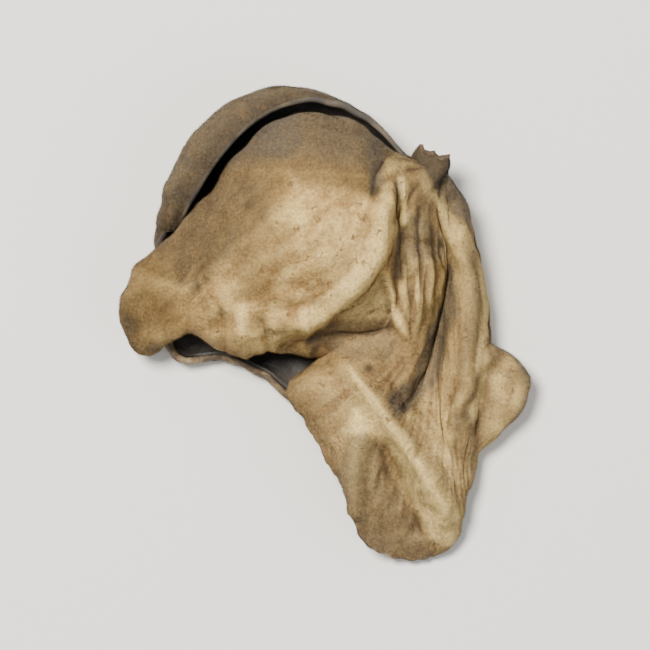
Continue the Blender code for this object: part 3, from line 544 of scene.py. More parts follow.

# Planes between the folds: painted shade on the faces turned from the light and along the top edge,
# painted highlight on the lit faces and crests. Mask, strength, softness of the border and the corners
# from above.
earPlanes = {
    "flank": ("stain", 0.98, 1.6, ((-5.6, 25.0), (-5.2, 21.0), (-7.0, 17.5), (-9.2, 13.2),
        (-12.9, 10.4), (-16.0, 8.4), (-22.0, 10.0), (-24.0, 14.0), (-12.0, 26.0))),
    "flankLine": ("grime", 0.50, 0.8, ((-14.2, 8.0), (-11.8, 10.0), (-9.0, 12.8), (-7.4, 17.0),
        (-9.2, 16.4), (-10.8, 13.6), (-13.0, 11.4), (-15.2, 9.2))),
    "flankShade": ("grime", 0.30, 1.8, ((-14.0, 8.6), (-6.4, 12.6), (-3.8, 17.6), (-4.0, 23.6),
        (-12.0, 24.0), (-20.0, 14.0))),
    "strip": ("stain", 0.42, 1.0, ((21.6, 16.0), (27.0, 12.0), (27.4, 0.0), (24.8, -10.0),
        (22.5, -16.0), (20.2, -14.0), (21.0, -4.0), (22.2, 4.0), (22.4, 12.0))),
    "brow": ("stain", 0.95, 0.5, ((-8.2, 25.4), (9.2, 25.4), (9.4, 23.2), (4.0, 23.6),
        (-7.8, 23.9))),
    "browLow": ("stain", 0.84, 1.2, ((-2.6, 24.2), (9.6, 24.2), (9.8, 19.8), (6.6, 21.2),
        (0.0, 22.0))),
    "browLeft": ("stain", 0.92, 1.6, ((-13.0, 24.6), (-1.2, 24.6), (-1.4, 22.0), (-2.6, 19.6),
        (-4.0, 17.0), (-7.0, 14.4), (-12.0, 12.0), (-15.0, 16.0))),
    "domeLeft": ("stain", 0.50, 1.6, ((-4.0, 18.6), (-1.4, 17.0), (-2.0, 11.0), (-4.6, 6.6),
        (-8.0, 8.0), (-9.0, 12.6))),
    "topUnder": ("stain", 0.95, 0.8, ((-14.0, 24.2), (12.4, 24.4), (13.0, 36.0), (-14.0, 36.0))),
    "top": ("grime", 1.00, 1.7, ((-14.0, 23.2), (-8.4, 24.4), (-1.0, 25.4), (1.6, 27.2),
        (0.4, 29.4), (0.0, 36.0), (-14.0, 36.0))),
    "topRight": ("grime", 0.68, 2.0, ((-1.0, 25.2), (4.0, 25.0), (9.6, 24.4), (13.0, 30.0),
        (8.0, 36.0), (-1.0, 36.0))),
    "topSide": ("grime", 0.92, 0.6, ((8.6, 29.0), (10.6, 27.0), (11.0, 22.4), (9.8, 20.4),
        (8.9, 22.0), (8.4, 26.0))),
    "facetGrey": ("pale", 0.42, 0.5, ((9.8, 10.4), (8.6, 9.2), (6.6, 7.5), (5.2, 6.0), (3.4, 4.8),
        (11.4, 5.2), (12.4, 5.4), (11.2, 8.2))),
    "facet": ("grime", 0.34, 0.3, ((10.0, 10.9), (8.8, 9.7), (6.8, 8.0), (5.3, 6.4), (3.1, 4.9),
        (1.2, 3.4), (1.6, 2.6), (13.0, 2.8), (12.7, 5.4), (11.5, 8.2))),
    "lap": ("grime", 0.66, 0.5, ((3.2, 1.6), (13.0, 2.0), (12.6, -0.4), (10.8, -2.0), (6.8, -1.7),
        (4.2, -0.4))),
    "facetLow": ("grime", 0.68, 0.6, ((2.2, 4.3), (7.0, 4.9), (11.4, 5.0), (13.0, 4.6), (13.0, 0.8),
        (8.0, 0.2), (4.4, 0.8), (1.2, 2.2))),
    "facetSide": ("grime", 0.58, 0.5, ((10.5, 9.4), (11.6, 7.7), (12.8, 5.0), (12.4, 3.0),
        (11.0, 3.2), (10.5, 6.0))),
    "hollow": ("grime", 0.76, 0.7, ((12.4, 17.4), (14.8, 18.8), (16.8, 18.0), (19.6, 15.4),
        (20.0, 12.6), (18.0, 12.0), (15.0, 12.4), (13.6, 9.6), (11.9, 9.8), (11.8, 15.2))),
    "stripTop": ("grime", 0.42, 0.8, ((21.0, 15.2), (24.8, 13.0), (25.8, 6.0), (22.2, 6.0),
        (21.6, 12.0))),
    "gutter": ("grime", 0.95, 0.6, ((19.6, 12.8), (20.6, 13.2), (21.8, 9.6), (22.0, 5.2),
        (21.2, 2.6), (20.6, -0.6), (19.8, -4.2), (17.2, -6.2), (15.4, -8.2), (12.2, -9.6),
        (10.8, -6.6), (12.8, -4.6), (14.8, -3.0), (15.6, 0.4), (17.2, 4.2), (18.7, 7.0))),
    "stub": ("grime", 1.00, 0.5, ((15.4, 29.6), (21.4, 29.6), (21.8, 24.8), (22.6, 21.2),
        (22.8, 16.0), (20.6, 18.6), (18.8, 20.6), (17.2, 23.0), (15.4, 25.0))),
    "endFacet": ("grime", 0.66, 0.3, ((8.6, -10.6), (9.8, -11.6), (11.2, -13.4), (12.6, -16.5),
        (14.2, -19.6), (16.2, -22.4), (17.6, -25.2), (18.2, -29.0), (10.0, -29.0), (6.2, -20.8),
        (6.0, -16.8), (6.6, -11.6))),
    "endLow": ("grime", 0.62, 0.6, ((13.6, -22.8), (16.6, -22.6), (17.9, -25.2), (18.0, -29.0),
        (12.4, -29.0))),
    "endPlane": ("pale", 0.78, 0.6, ((9.6, -6.6), (11.2, -8.4), (14.8, -13.4), (17.0, -16.0),
        (19.2, -18.8), (21.0, -22.2), (20.6, -26.4), (18.2, -25.2), (16.8, -22.4), (14.9, -19.6),
        (13.6, -16.5), (12.2, -13.4), (10.8, -11.8), (9.2, -10.7), (7.2, -11.4), (7.0, -7.8))),
    "dome": ("pale", 0.40, 1.4, ((2.4, 17.2), (8.2, 17.6), (8.6, 13.2), (6.8, 10.4), (3.4, 10.2),
        (1.8, 13.0))),
    "endRight": ("pale", 0.45, 0.8, ((16.8, -12.8), (20.0, -12.8), (20.8, -18.0), (19.4, -19.0))),
    "crest": ("pale", 0.62, 0.35, ((11.6, 20.4), (11.2, 14.4), (10.2, 11.2), (8.9, 9.9), (6.9, 8.2),
        (5.4, 6.6), (3.1, 5.1), (0.9, 3.9), (-0.6, 4.6), (3.2, 7.8), (6.2, 10.6), (7.4, 12.8),
        (9.2, 15.6), (10.8, 20.4))),
}

# Paler bands, partly worn velvet and partly painted highlight on the ridges that face the light, in the
# form of the grey-brown ones.
earWearAndHighlight = {
    "crest": (0.85, (0.4, 1.6), ((10.8, 18.0), (10.4, 13.6), (9.4, 11.2), (7.4, 9.3), (4.8, 7.0))),
    "facetEdge": (0.70, (0.6, 0.4), ((10.6, 10.9), (11.8, 8.2), (13.0, 5.1), (13.8, 2.6))),
    "endPatch": (1.00, (1.1, 1.3), ((7.6, -8.4), (8.8, -9.2), (9.8, -9.4))),
    "endRidge": (0.72, (0.6, 1.6), ((6.0, -2.0), (9.6, -6.8), (12.6, -11.2), (16.0, -15.8),
        (19.0, -20.6), (20.6, -24.0))),
    "endLine": (0.50, (0.5, 0.5), ((22.2, -5.6), (20.4, -9.0), (19.4, -12.4), (19.0, -15.0))),
    "pleatA": (0.40, (0.4, 0.4), ((13.5, 9.6), (13.9, 7.0), (14.3, 4.4))),
    "pleatB": (0.55, (0.5, 0.5), ((15.4, 11.2), (15.7, 9.0), (15.7, 7.0))),
    "pleatC": (0.40, (0.4, 0.4), ((17.2, 11.0), (17.4, 9.0), (17.1, 6.0))),
    "topPleat": (0.90, (0.8, 0.9), ((12.9, 23.6), (13.3, 20.6), (13.7, 17.0))),
    "topPatch": (0.40, (1.4, 1.2), ((11.4, 25.8), (12.6, 23.6))),
    "stubBand": (0.60, (1.1, 0.9), ((15.6, 24.4), (17.0, 21.6), (19.2, 19.2), (20.6, 17.0),
        (21.4, 14.4))),
    "gatherB": (0.90, (1.1, 1.1), ((-7.7, 7.2), (-7.7, 3.2))),
    "gatherD": (0.75, (1.2, 1.2), ((0.6, 6.2), (0.7, 3.6))),
    "strip": (0.65, (0.6, 0.6), ((23.6, 13.0), (24.4, 7.0), (24.2, 2.0), (23.4, -3.5))),
    "stripLow": (0.80, (0.7, 0.7), ((24.6, 0.6), (24.2, -3.0), (23.4, -6.2), (22.2, -9.4))),
    "tab": (0.55, (1.2, 1.2), ((26.4, -3.0), (26.6, -6.4))),
}

# Whole parts painted darker and greyer as painted shade, the rolled side most: the rib where it begins,
# the rib where it is full, strength.
earShadedParts = {
    "end": (8.0, 10.5, 0.32),
    "roll": (26.0, 29.0, 1.00),
    "rollRim": (27.0, 29.0, 0.75),
}

# How the masks follow the shape.
maskShape = {
    "finePasses": 4,                # how far fine and broad bends are evened out
    "broadPasses": (30, 40),
    "crease": (0.55, 1.1),          # share of the fine and of the broad bends
    "crest": (0.45, 0.9),
    "marginReach": 0.006,           # in metres
    "stubReach": 0.012,
    "stubShare": 0.12,              # no side margin this near the stub
    "past": (1.2, 1.5),             # how many ribs the marks run past the upper flap
    "bandEnds": (0.14, 0.2),        # how the marks fade at their ends and sides
    "bandSides": 1.15,
    "spotSides": 1.25,
    # the rolled side's rim is darkened as painted shade of the gap behind it, partly as its darker
    # margin
    "rolled": (0.4, 0.6, 1.6, -0.2),    # the roll's back, and how much more its rim is dark
}


def bending(grid, normals):
    # both bends together, per millimetre
    return (bendAlong(grid, normals, 0) + bendAlong(grid, normals, 1)) * 0.001


def bandField(places, bands):
    field = np.zeros(places.shape[:2])
    for strength, spread, line in bands.values():
        away, along, left = lineDistance(places, np.array(line))
        fade, rest = maskShape["bandEnds"]
        ends = softStep(np.minimum(along, 1 - along) / fade + rest)
        share = softStep(maskShape["bandSides"] - away / np.where(left, spread[0], spread[1]))
        field = np.maximum(field, strength * ends * share)
    return field


def planeField(places, name):
    x, y = places[..., 0], places[..., 1]
    field = np.zeros(x.shape)
    for mask, strength, soft, corners in earPlanes.values():
        if mask != name:
            continue
        inside = np.zeros(x.shape, bool)
        for (fromX, fromY), (toX, toY) in zip(corners, corners[1:] + corners[:1]):
            if fromY != toY:
                crossing = fromX + (y - fromY) * (toX - fromX) / (toY - fromY)
                inside ^= ((fromY > y) != (toY > y)) & (x < crossing)
        away = lineDistance(places, np.array(corners + corners[:1]))[0]
        depth = np.where(inside, away, -away)
        field = np.maximum(field, strength * softStep(0.5 + depth / (2 * soft)))
    return field


def spotField(places, spots):
    field = np.zeros(places.shape[:2])
    for x, y, radius, strength in spots.values():
        away = np.hypot(places[..., 0] - x, places[..., 1] - y)
        field = np.maximum(field, strength * softStep(maskShape["spotSides"] - away / radius))
    return field


def overRibs(surface, first, last, strength):
    ribs = ribPosition(surface)
    return strength * softStep((ribs - first) / (last - first)) * np.ones(surface.shape[:2])


def addShades(sheet, places):
    # masks for the finishes: each is a value from 0 to 1 at every point of the sheet
    for name, side in (("back", 1), ("face", -1)):
        surface = sheet[name]
        normals = surfaceNormals(surface) * side
        fine = evened(bending(surface, normals), maskShape["finePasses"])
        first, second = maskShape["broadPasses"]
        broad = evened(bending(surface, evened(normals, first)), second)
        mask = {}
        # hollow bends are darkened as painted shade, convex bends paled as painted highlight and worn
        # velvet
        for fold, sign in (("crease", 1), ("crest", -1)):
            fineShare, broadShare = maskShape[fold]
            mask[fold] = np.clip(sign * (fine * fineShare + broad * broadShare), 0.0, 1.0)
        toEnd = sheet["along"][:, -1:] - sheet["along"]
        toSide = np.minimum(sheet["u"], 1 - sheet["u"]) * earShape["marginWidth"] * 0.001
        toSide = np.where(sheet["v"] > maskShape["stubShare"], toSide, 1.0)
        toMargin = np.minimum(toEnd, toSide)
        mask["margin"] = np.clip(1 - toMargin / maskShape["marginReach"], 0.0, 1.0)
        mask["stub"] = np.clip(1 - sheet["along"] / maskShape["stubReach"], 0.0, 1.0)
        upper = upperSide(surface, *maskShape["past"])
        marks = {"stain": spotField(places, earStainsAndShade), "grime": bandField(places, earGrimeAndShade),
                 "pale": bandField(places, earWearAndHighlight)}
        for mark, field in marks.items():
            mask[mark] = np.maximum(field, planeField(places, mark)) * upper
        # painted shade over whole parts and on the rolled rim beside the dark gap, partly its darker
        # margin; the pits join the stub mask
        for part in ("end", "roll"):
            mask["grime"] = np.maximum(mask["grime"], overRibs(surface, *earShadedParts[part]))
        least, more, steep, start = maskShape["rolled"]
        rollRim = least + more * softStep(mask["margin"] * steep + start)
        rollRim = rollRim * overRibs(surface, *earShadedParts["rollRim"])
        mask["stub"] = np.maximum(mask["stub"], np.maximum(rollRim, spotField(places, earPitsAndShade) * upper))
        sheet[name + "Mask"] = mask


def makeSheet():
    v = np.linspace(0.0, 1.0, earShape["rows"] + 1)[None, :]
    u = np.linspace(0.0, 1.0, earShape["columns"] + 1)[:, None]
    plain, places = middleSurface()
    grid = nibbled(dried(plain, u, v, places), v)
    toMargin = np.minimum(1 - v, np.minimum(u, 1 - u) * 2.0)
    margin = softStep(toMargin / earShape["rimShare"])
    base = np.clip(1 - v / earShape["baseShare"], 0.0, 1.0) ** 1.5
    thickness = earShape["rimWall"] + (earShape["wall"] - earShape["rimWall"]) * margin
    thickness = thickness + (earShape["baseWall"] - thickness) * base
    grid[..., 2] = np.maximum(grid[..., 2], thickness / 2)
    normals = calmNormals(grid)
    along = np.concatenate((np.zeros((len(u), 1)),
                            np.cumsum(np.linalg.norm(np.diff(grid, axis=1), axis=2), axis=1)), axis=1)
    backWall = halfWall(grid, normals, thickness / 2, 1)
    faceWall = halfWall(grid, normals, thickness / 2, -1)
    height, size, seed = earRelief["pebble"]
    fade = softStep(v / earRelief["fineRise"])
    backSeed, faceSeed = earRelief["wrinkleSeeds"]
    backFine = wrinkleField(u, along, backSeed) * fade + height * noiseGrid(grid, size, seed) * fade
    faceFine = earRelief["faceWrinkle"] * wrinkleField(u, along, faceSeed) * fade
    back = tornStub(grid + normals * (backWall + backFine)[..., None], v)
    face = grid - normals * (faceWall + faceFine)[..., None]
    shareSeam(back)
    shareSeam(face)
    flat = earShape["pressed"]
    back[..., 2] = np.where(back[..., 2] < flat, 0.0, back[..., 2])
    face[..., 2] = np.maximum(face[..., 2], earShape["thinnest"] / 2)
    sheet = {"back": back, "face": face, "grid": grid, "u": u, "v": v, "along": along}
    addShades(sheet, places)
    low = back.reshape(-1, 3).min(axis=0)
    high = back.reshape(-1, 3).max(axis=0)
    boxLow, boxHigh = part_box("wood_ear")
    shift = np.array([(boxLow.x + boxHigh.x - low[0] - high[0]) / 2,
                      (boxLow.y + boxHigh.y - low[1] - high[1]) / 2, boxLow.z])
    for name in ("back", "face", "grid"):
        sheet[name] = sheet[name] + shift
    return sheet


# The rounded lip at the margin, and the torn end of the stub.
lipShape = {"steps": 5, "fullness": 0.95, "fadeIn": 12}
cutShape = {"rings": 7, "rough": 0.00045, "size": 0.0009, "dish": 0.0003, "seed": 31.0, "dirt": 0.3}
cutMask = {"crease": 0.3, "crest": 0.0, "margin": 0.0, "stub": 1.0,
           "stain": 0.0, "grime": 0.0, "pale": 0.0}
maskNames = ("crease", "crest", "margin", "stub", "stain", "grime", "pale")


def boundaryPath():
    columns, rows, joined = earShape["columns"], earShape["rows"], earShape["joinedRows"]
    path = [(0, row) for row in range(joined, rows)]
    path += [(column, rows) for column in range(columns)]
    path += [(columns, row) for row in range(rows, joined, -1)]
    return path


def outwardAt(grid, column, row):
    columns, rows = earShape["columns"], earShape["rows"]
    place = grid[column, row]
    inward = np.zeros(3)
    if row == rows:
        inward += unit(grid[column, row - 2] - place)
    if column == 0:
        inward += unit(grid[2, row] - place)
    if column == columns:
        inward += unit(grid[columns - 2, row] - place)
    return -unit(inward)


def unit(vector):
    return vector / max(np.linalg.norm(vector), 1e-12)


def fanPlace(sheet, column, row, depth):
    # millimetres round and along the ribs, which patterns of the skin follow
    return sheet["u"][column, 0] * earShape["marginWidth"], sheet["along"][column, row] * 1000, depth


def buildEar(sheet):
    columns, rows = earShape["columns"], earShape["rows"]
    joined, solid = earShape["joinedRows"], earShape["solidRows"]
    points, masks, fans = [], [], []
    faces, finish = [], []

    def addGrid(name, firstRow):
        index = np.zeros((columns + 1, rows + 1), int)
        mask = sheet[name + "Mask"]
        for column in range(columns + 1):
            for row in range(firstRow, rows + 1):
                if column == columns and row <= joined:
                    index[column, row] = index[0, row]
                    continue
                index[column, row] = len(points)
                points.append(sheet[name][column, row])
                masks.append([mask[key][column, row] for key in maskNames])
                fans.append(fanPlace(sheet, column, row, 0.0))
        return index

    outer = addGrid("back", 0)
    inner = addGrid("face", solid)
    for column in range(columns):
        for row in range(rows):
            corners = ((column, row), (column, row + 1), (column + 1, row + 1), (column + 1, row))
            faces.append([outer[corner] for corner in corners])
            finish.append(0)
            if row >= solid:
                faces.append([inner[corner] for corner in reversed(corners)])
                finish.append(1)

    path = boundaryPath()
    steps = lipShape["steps"]
    rings = []
    for order, (column, row) in enumerate(path):
        first, last = sheet["back"][column, row], sheet["face"][column, row]
        outward = outwardAt(sheet["grid"], column, row)
        ends = min(order, len(path) - order) / lipShape["fadeIn"]
        bulge = float(softStep(ends)) * lipShape["fullness"] * np.linalg.norm(first - last) / 2
        ring = [outer[column, row]]
        for step in range(1, steps):
            turn = math.pi * step / steps
            place = (first + last) / 2 + (first - last) / 2 * math.cos(turn)
            place += outward * bulge * math.sin(turn)
            place[2] = max(place[2], 0.0)
            ring.append(len(points))
            points.append(place)
            masks.append([sheet["backMask"][key][column, row] for key in maskNames])
            fans.append(fanPlace(sheet, column, row, step / steps))
        ring.append(inner[column, row])
        rings.append(ring)
    for order, ring in enumerate(rings):
        after = rings[(order + 1) % len(rings)]
        for step in range(steps):
            faces.append([ring[step], ring[step + 1], after[step + 1], after[step]])
            finish.append(2)

    axis = np.array(Vector(earShape["stubAxis"]).normalized())
    cutRing = [outer[column, 0] for column in range(columns)]
    innerRing = [inner[column, solid] for column in range(columns)]
    capRing(points, masks, fans, faces, finish, cutRing, axis, 3)
    capRing(points, masks, fans, faces, finish, innerRing, -axis, 1)
    print("ear:", len(points), "points,", len(faces), "faces")
    return points, masks, fans, faces, finish


def capRing(points, masks, fans, faces, finish, ring, axis, slot):
    # closes a ring with smaller and smaller rings, uneven like torn wood
    corners = np.array([points[index] for index in ring])
    middle = corners.mean(axis=0)
    before = ring
    for order in range(1, cutShape["rings"]):
        share = 1 - order / cutShape["rings"]
        now = []
        for corner in corners:
            place = middle + (corner - middle) * share
            rough = noise.noise(Vector(place) / cutShape["size"] + Vector((cutShape["seed"], 0, 0)))
            depth = cutShape["rough"] * rough - cutShape["dish"] * (1 - share ** 2)
            now.append(len(points))
            points.append(place + axis * depth)
            masks.append([value + cutShape["dirt"] * rough * (name == "crease")
                          for name, value in cutMask.items()])
            fans.append((share * 10, order, 0.0))
        joinRings(faces, finish, before, now, slot)
        before = now
    points.append(middle - axis * cutShape["dish"])
    masks.append(list(cutMask.values()))
    fans.append((0.0, 0.0, 0.0))
    for index, start in enumerate(before):
        faces.append([start, before[(index + 1) % len(before)], len(points) - 1])
        finish.append(slot)


def joinRings(faces, finish, outerRing, innerRing, slot):
    count = len(outerRing)
    for index in range(count):
        after = (index + 1) % count
        faces.append([outerRing[index], outerRing[after], innerRing[after], innerRing[index]])
        finish.append(slot)


def addAttributes(mesh, masks, fans):
    for order, name in enumerate(maskNames):
        layer = mesh.attributes.new(name, "FLOAT", "POINT")
        layer.data.foreach_set("value", np.ascontiguousarray(masks[:, order], np.float32))
    layer = mesh.attributes.new("fan", "FLOAT_VECTOR", "POINT")
    layer.data.foreach_set("vector", np.ascontiguousarray(fans, np.float32).ravel())


def makeEar(sheet):
    points, masks, fans, faces, finish = buildEar(sheet)
    mesh = bpy.data.meshes.new("wood_ear_skin")
    mesh.from_pydata([tuple(place) for place in points], [], faces)
    mesh.polygons.foreach_set("material_index", finish)
    addAttributes(mesh, np.array(masks), np.array(fans))
    for material in (velvetyBack(), satinFace(), driedRim(), cutStub()):
        mesh.materials.append(material)
    mesh.shade_smooth()
    mesh.validate()
    ear = bpy.data.objects.new("wood_ear_skin", mesh)
    bpy.context.scene.collection.objects.link(ear)
    return ear


# The velvet: short stiff hairs that stand on the back and lean outwards from the stub.
velvet = {
    "pieces": 3,
    "hairs": 186000,             # in each piece
    "length": (0.00016, 0.00038),
    "width": (0.000026, 0.000044),
    "lean": (20.0, 62.0),        # degrees from upright
    "root": 0.00003,             # how deep a hair starts in the skin
    "swirl": 0.9,                # how far the nap turns from straight out
    "swirlSize": 0.0050,
    "swirlSeed": 83.0,
    "wild": 0.8,                 # how far each hair strays from the nap
    "shineLean": 0.35,           # how far the shading leans with the hair
    "above": 0.00001,            # lowest place of a hair
    "seed": 20,
}


def growVelvet(sheet):
    generator = np.random.default_rng(velvet["seed"])
    back = sheet["back"]
    normals = surfaceNormals(evened(back, 2))
    outward = np.gradient(back, axis=1)
    outward /= np.linalg.norm(outward, axis=2, keepdims=True)
    turn = velvet["swirl"] * noiseGrid(back, velvet["swirlSize"], velvet["swirlSeed"]) * math.pi
    nap = outward * np.cos(turn)[..., None] + np.cross(normals, outward) * np.sin(turn)[..., None]
    first, second = back[1:, 1:] - back[:-1, :-1], back[1:, :-1] - back[:-1, 1:]
    area = np.linalg.norm(np.cross(first, second), axis=2).ravel()
    rows = back.shape[1] - 1
    made = []
    for piece in range(velvet["pieces"]):
        count = velvet["hairs"]
        cell = np.searchsorted(np.cumsum(area) / area.sum(), generator.random(count))
        cell = np.minimum(cell, len(area) - 1)
        column, row = cell // rows, cell % rows
        x, y = generator.random(count), generator.random(count)

        def at(values):
            shape = (-1,) + (1,) * (values.ndim - 2)
            a, b = x.reshape(shape), y.reshape(shape)
            return ((values[column, row] * (1 - a) + values[column + 1, row] * a) * (1 - b)
                    + (values[column, row + 1] * (1 - a) + values[column + 1, row + 1] * a) * b)

        place, normal, direction = at(back), unitRows(at(normals)), unitRows(at(nap))
        masks = np.stack([at(sheet["backMask"][name]) for name in maskNames], axis=1)
        across = (column + x) / (back.shape[0] - 1) * earShape["marginWidth"]
        fan = np.stack([across, at(sheet["along"]) * 1000, generator.random(count)], axis=1)
        wild = unitRows(generator.normal(size=(count, 3)))
        direction = unitRows(direction + velvet["wild"] * wild)
        lean, length, width = (np.interp(generator.random(count), (0, 1), velvet[name])
                               for name in ("lean", "length", "width"))
        lean = np.radians(lean)
        heading = unitRows(normal * np.cos(lean)[:, None] + direction * np.sin(lean)[:, None])
        sideways = unitRows(np.cross(heading, normal)) * width[:, None] / 2
        root = place - normal * velvet["root"]
        tip = root + heading * length[:, None]
        left, right = root + sideways, root - sideways
        corners = np.stack([right, left, tip], axis=1).reshape(-1, 3)
        corners[:, 2] = np.maximum(corners[:, 2], velvet["above"])
        shine = unitRows(normal + velvet["shineLean"] * direction)
        made.append(hairPiece(piece, corners, *(np.repeat(values, 3, axis=0)
                                                for values in (masks, fan, shine))))
    return made


def unitRows(vectors):
    return vectors / np.maximum(np.linalg.norm(vectors, axis=1, keepdims=True), 1e-12)


def hairPiece(order, corners, masks, fans, normals):
    count = len(corners)
    mesh = bpy.data.meshes.new("velvet_%d" % (order + 1))
    mesh.vertices.add(count)
    mesh.vertices.foreach_set("co", corners.astype(np.float32).ravel())
    mesh.loops.add(count)
    mesh.loops.foreach_set("vertex_index", np.arange(count, dtype=np.int32))
    mesh.polygons.add(count // 3)
    mesh.polygons.foreach_set("loop_start", np.arange(0, count, 3, dtype=np.int32))
    mesh.update(calc_edges=True)
    addAttributes(mesh, masks, fans)
    height = mesh.attributes.new("rise", "FLOAT", "POINT")
    height.data.foreach_set("value", np.tile(np.array([0, 0, 1], np.float32), count // 3))
    mesh.shade_smooth()
    mesh.normals_split_custom_set_from_vertices(normals)
    mesh.materials.append(velvetHair())
    piece = bpy.data.objects.new("velvet_%d" % (order + 1), mesh)
    bpy.context.scene.collection.objects.link(piece)
    return piece


# The velvety back. Colours are linear.
backLook = {
    "umber": (0.120, 0.070, 0.030, 1),
    "tan": (0.330, 0.205, 0.078, 1),
    "buff": (0.490, 0.345, 0.140, 1),
    "cream": (0.638, 0.492, 0.192, 1),
    "stops": (0.22, 0.42, 0.60, 0.82),    # where the four colours above stand in the tone
    "patch": (110.0, 0.85),              # scale of the noise, share of it in the tone
    "mottle": (420.0, 0.64),
    "streak": ((0.55, 0.11, 0.0), 0.40),  # across and along the ribs, per millimetre
    "zone": ((0.030, 0.42, 0.0), 0.22),
    "balance": -0.555,                   # lower is browner
    "uneven": (0.50, 1.35),              # least and most of a mask, by the mottle
    "speck": (760.0, 0.640, 0.70, 0.70),  # scale, where specks begin and are full, strength
    "grain": 2600.0,
    "grainStops": ((0.30, (0.70, 0.67, 0.62, 1)), (0.70, (1.26, 1.25, 1.20, 1))),
    "relief": (0.35, 0.65),              # shares of the grain and of the mottle
    "bump": (0.00012, 0.8),              # height and strength of that relief
    "roughness": (0.96, 0.78),           # in the brown and in the pale tone
    "specular": 0.25,
    "sheen": {"Weight": 0.08, "Roughness": 0.45, "Tint": (0.95, 0.86, 0.72, 1)},
    # The colours of the masks: hollows darken as painted shade, ridges pale as painted highlight with
    # worn velvet, and the brown, grey-brown and pale marks carry painted shade and painted highlight
    # besides stains, grime and wear.
    "crest": ((0.645, 0.497, 0.190, 1), 0.55),   # colour of each mask and its strength
    "crease": ((0.115, 0.070, 0.032, 1), 0.75),
    "margin": ((0.200, 0.122, 0.052, 1), 0.75),
    "stain": ((0.122, 0.076, 0.029, 1), 1.00),
    "grime": ((0.094, 0.075, 0.055, 1), 0.95),
    "pale": ((0.780, 0.606, 0.266, 1), 0.75),
    "stub": ((0.046, 0.033, 0.020, 1), 0.92),
}


def newNode(tree, kind, place, **values):
    node = tree.nodes.new(kind)
    node.location = place
    for name, value in values.items():
        setattr(node, name, value)
    return node


def rampNode(tree, place, stops, factor):
    node = newNode(tree, "ShaderNodeValToRGB", place)
    while len(node.color_ramp.elements) > 1:
        node.color_ramp.elements.remove(node.color_ramp.elements[-1])
    node.color_ramp.elements[0].position = stops[0][0]
    node.color_ramp.elements[0].color = stops[0][1]
    for position, colour in stops[1:]:
        node.color_ramp.elements.new(position).color = colour
    tree.links.new(factor, node.inputs["Fac"])
    return node.outputs["Color"]


def noiseNode(tree, place, vector, scale, detail=4.0, roughness=0.60, distortion=0.4):
    node = newNode(tree, "ShaderNodeTexNoise", place)
    node.inputs["Scale"].default_value = scale
    node.inputs["Detail"].default_value = detail
    node.inputs["Roughness"].default_value = roughness
    node.inputs["Distortion"].default_value = distortion
    tree.links.new(vector, node.inputs["Vector"])
    return node.outputs["Fac"]


def stretchNode(tree, place, vector, scale):
    node = newNode(tree, "ShaderNodeVectorMath", place, operation="MULTIPLY")
    tree.links.new(vector, node.inputs[0])
    node.inputs[1].default_value = scale
    return node.outputs["Vector"]


def mathNode(tree, place, operation, first, second=None, clamp=False):
    node = newNode(tree, "ShaderNodeMath", place, operation=operation, use_clamp=clamp)
    for socket, value in zip(node.inputs, (first, second)):
        if value is None:
            continue
        if isinstance(value, (int, float)):
            socket.default_value = value
        else:
            tree.links.new(value, socket)
    return node.outputs["Value"]


def blendNode(tree, place, factor, first, second, mode="MIX"):
    node = newNode(tree, "ShaderNodeMix", place, data_type="RGBA", blend_type=mode)
    factorSocket, firstSocket, secondSocket = node.inputs[0], node.inputs[6], node.inputs[7]
    for socket, value in ((factorSocket, factor), (firstSocket, first), (secondSocket, second)):
        if isinstance(value, (int, float, tuple)):
            socket.default_value = value
        else:
            tree.links.new(value, socket)
    return node.outputs[2]


def attributeNode(tree, place, name, output="Fac"):
    node = newNode(tree, "ShaderNodeAttribute", place, attribute_name=name)
    return node.outputs[output]


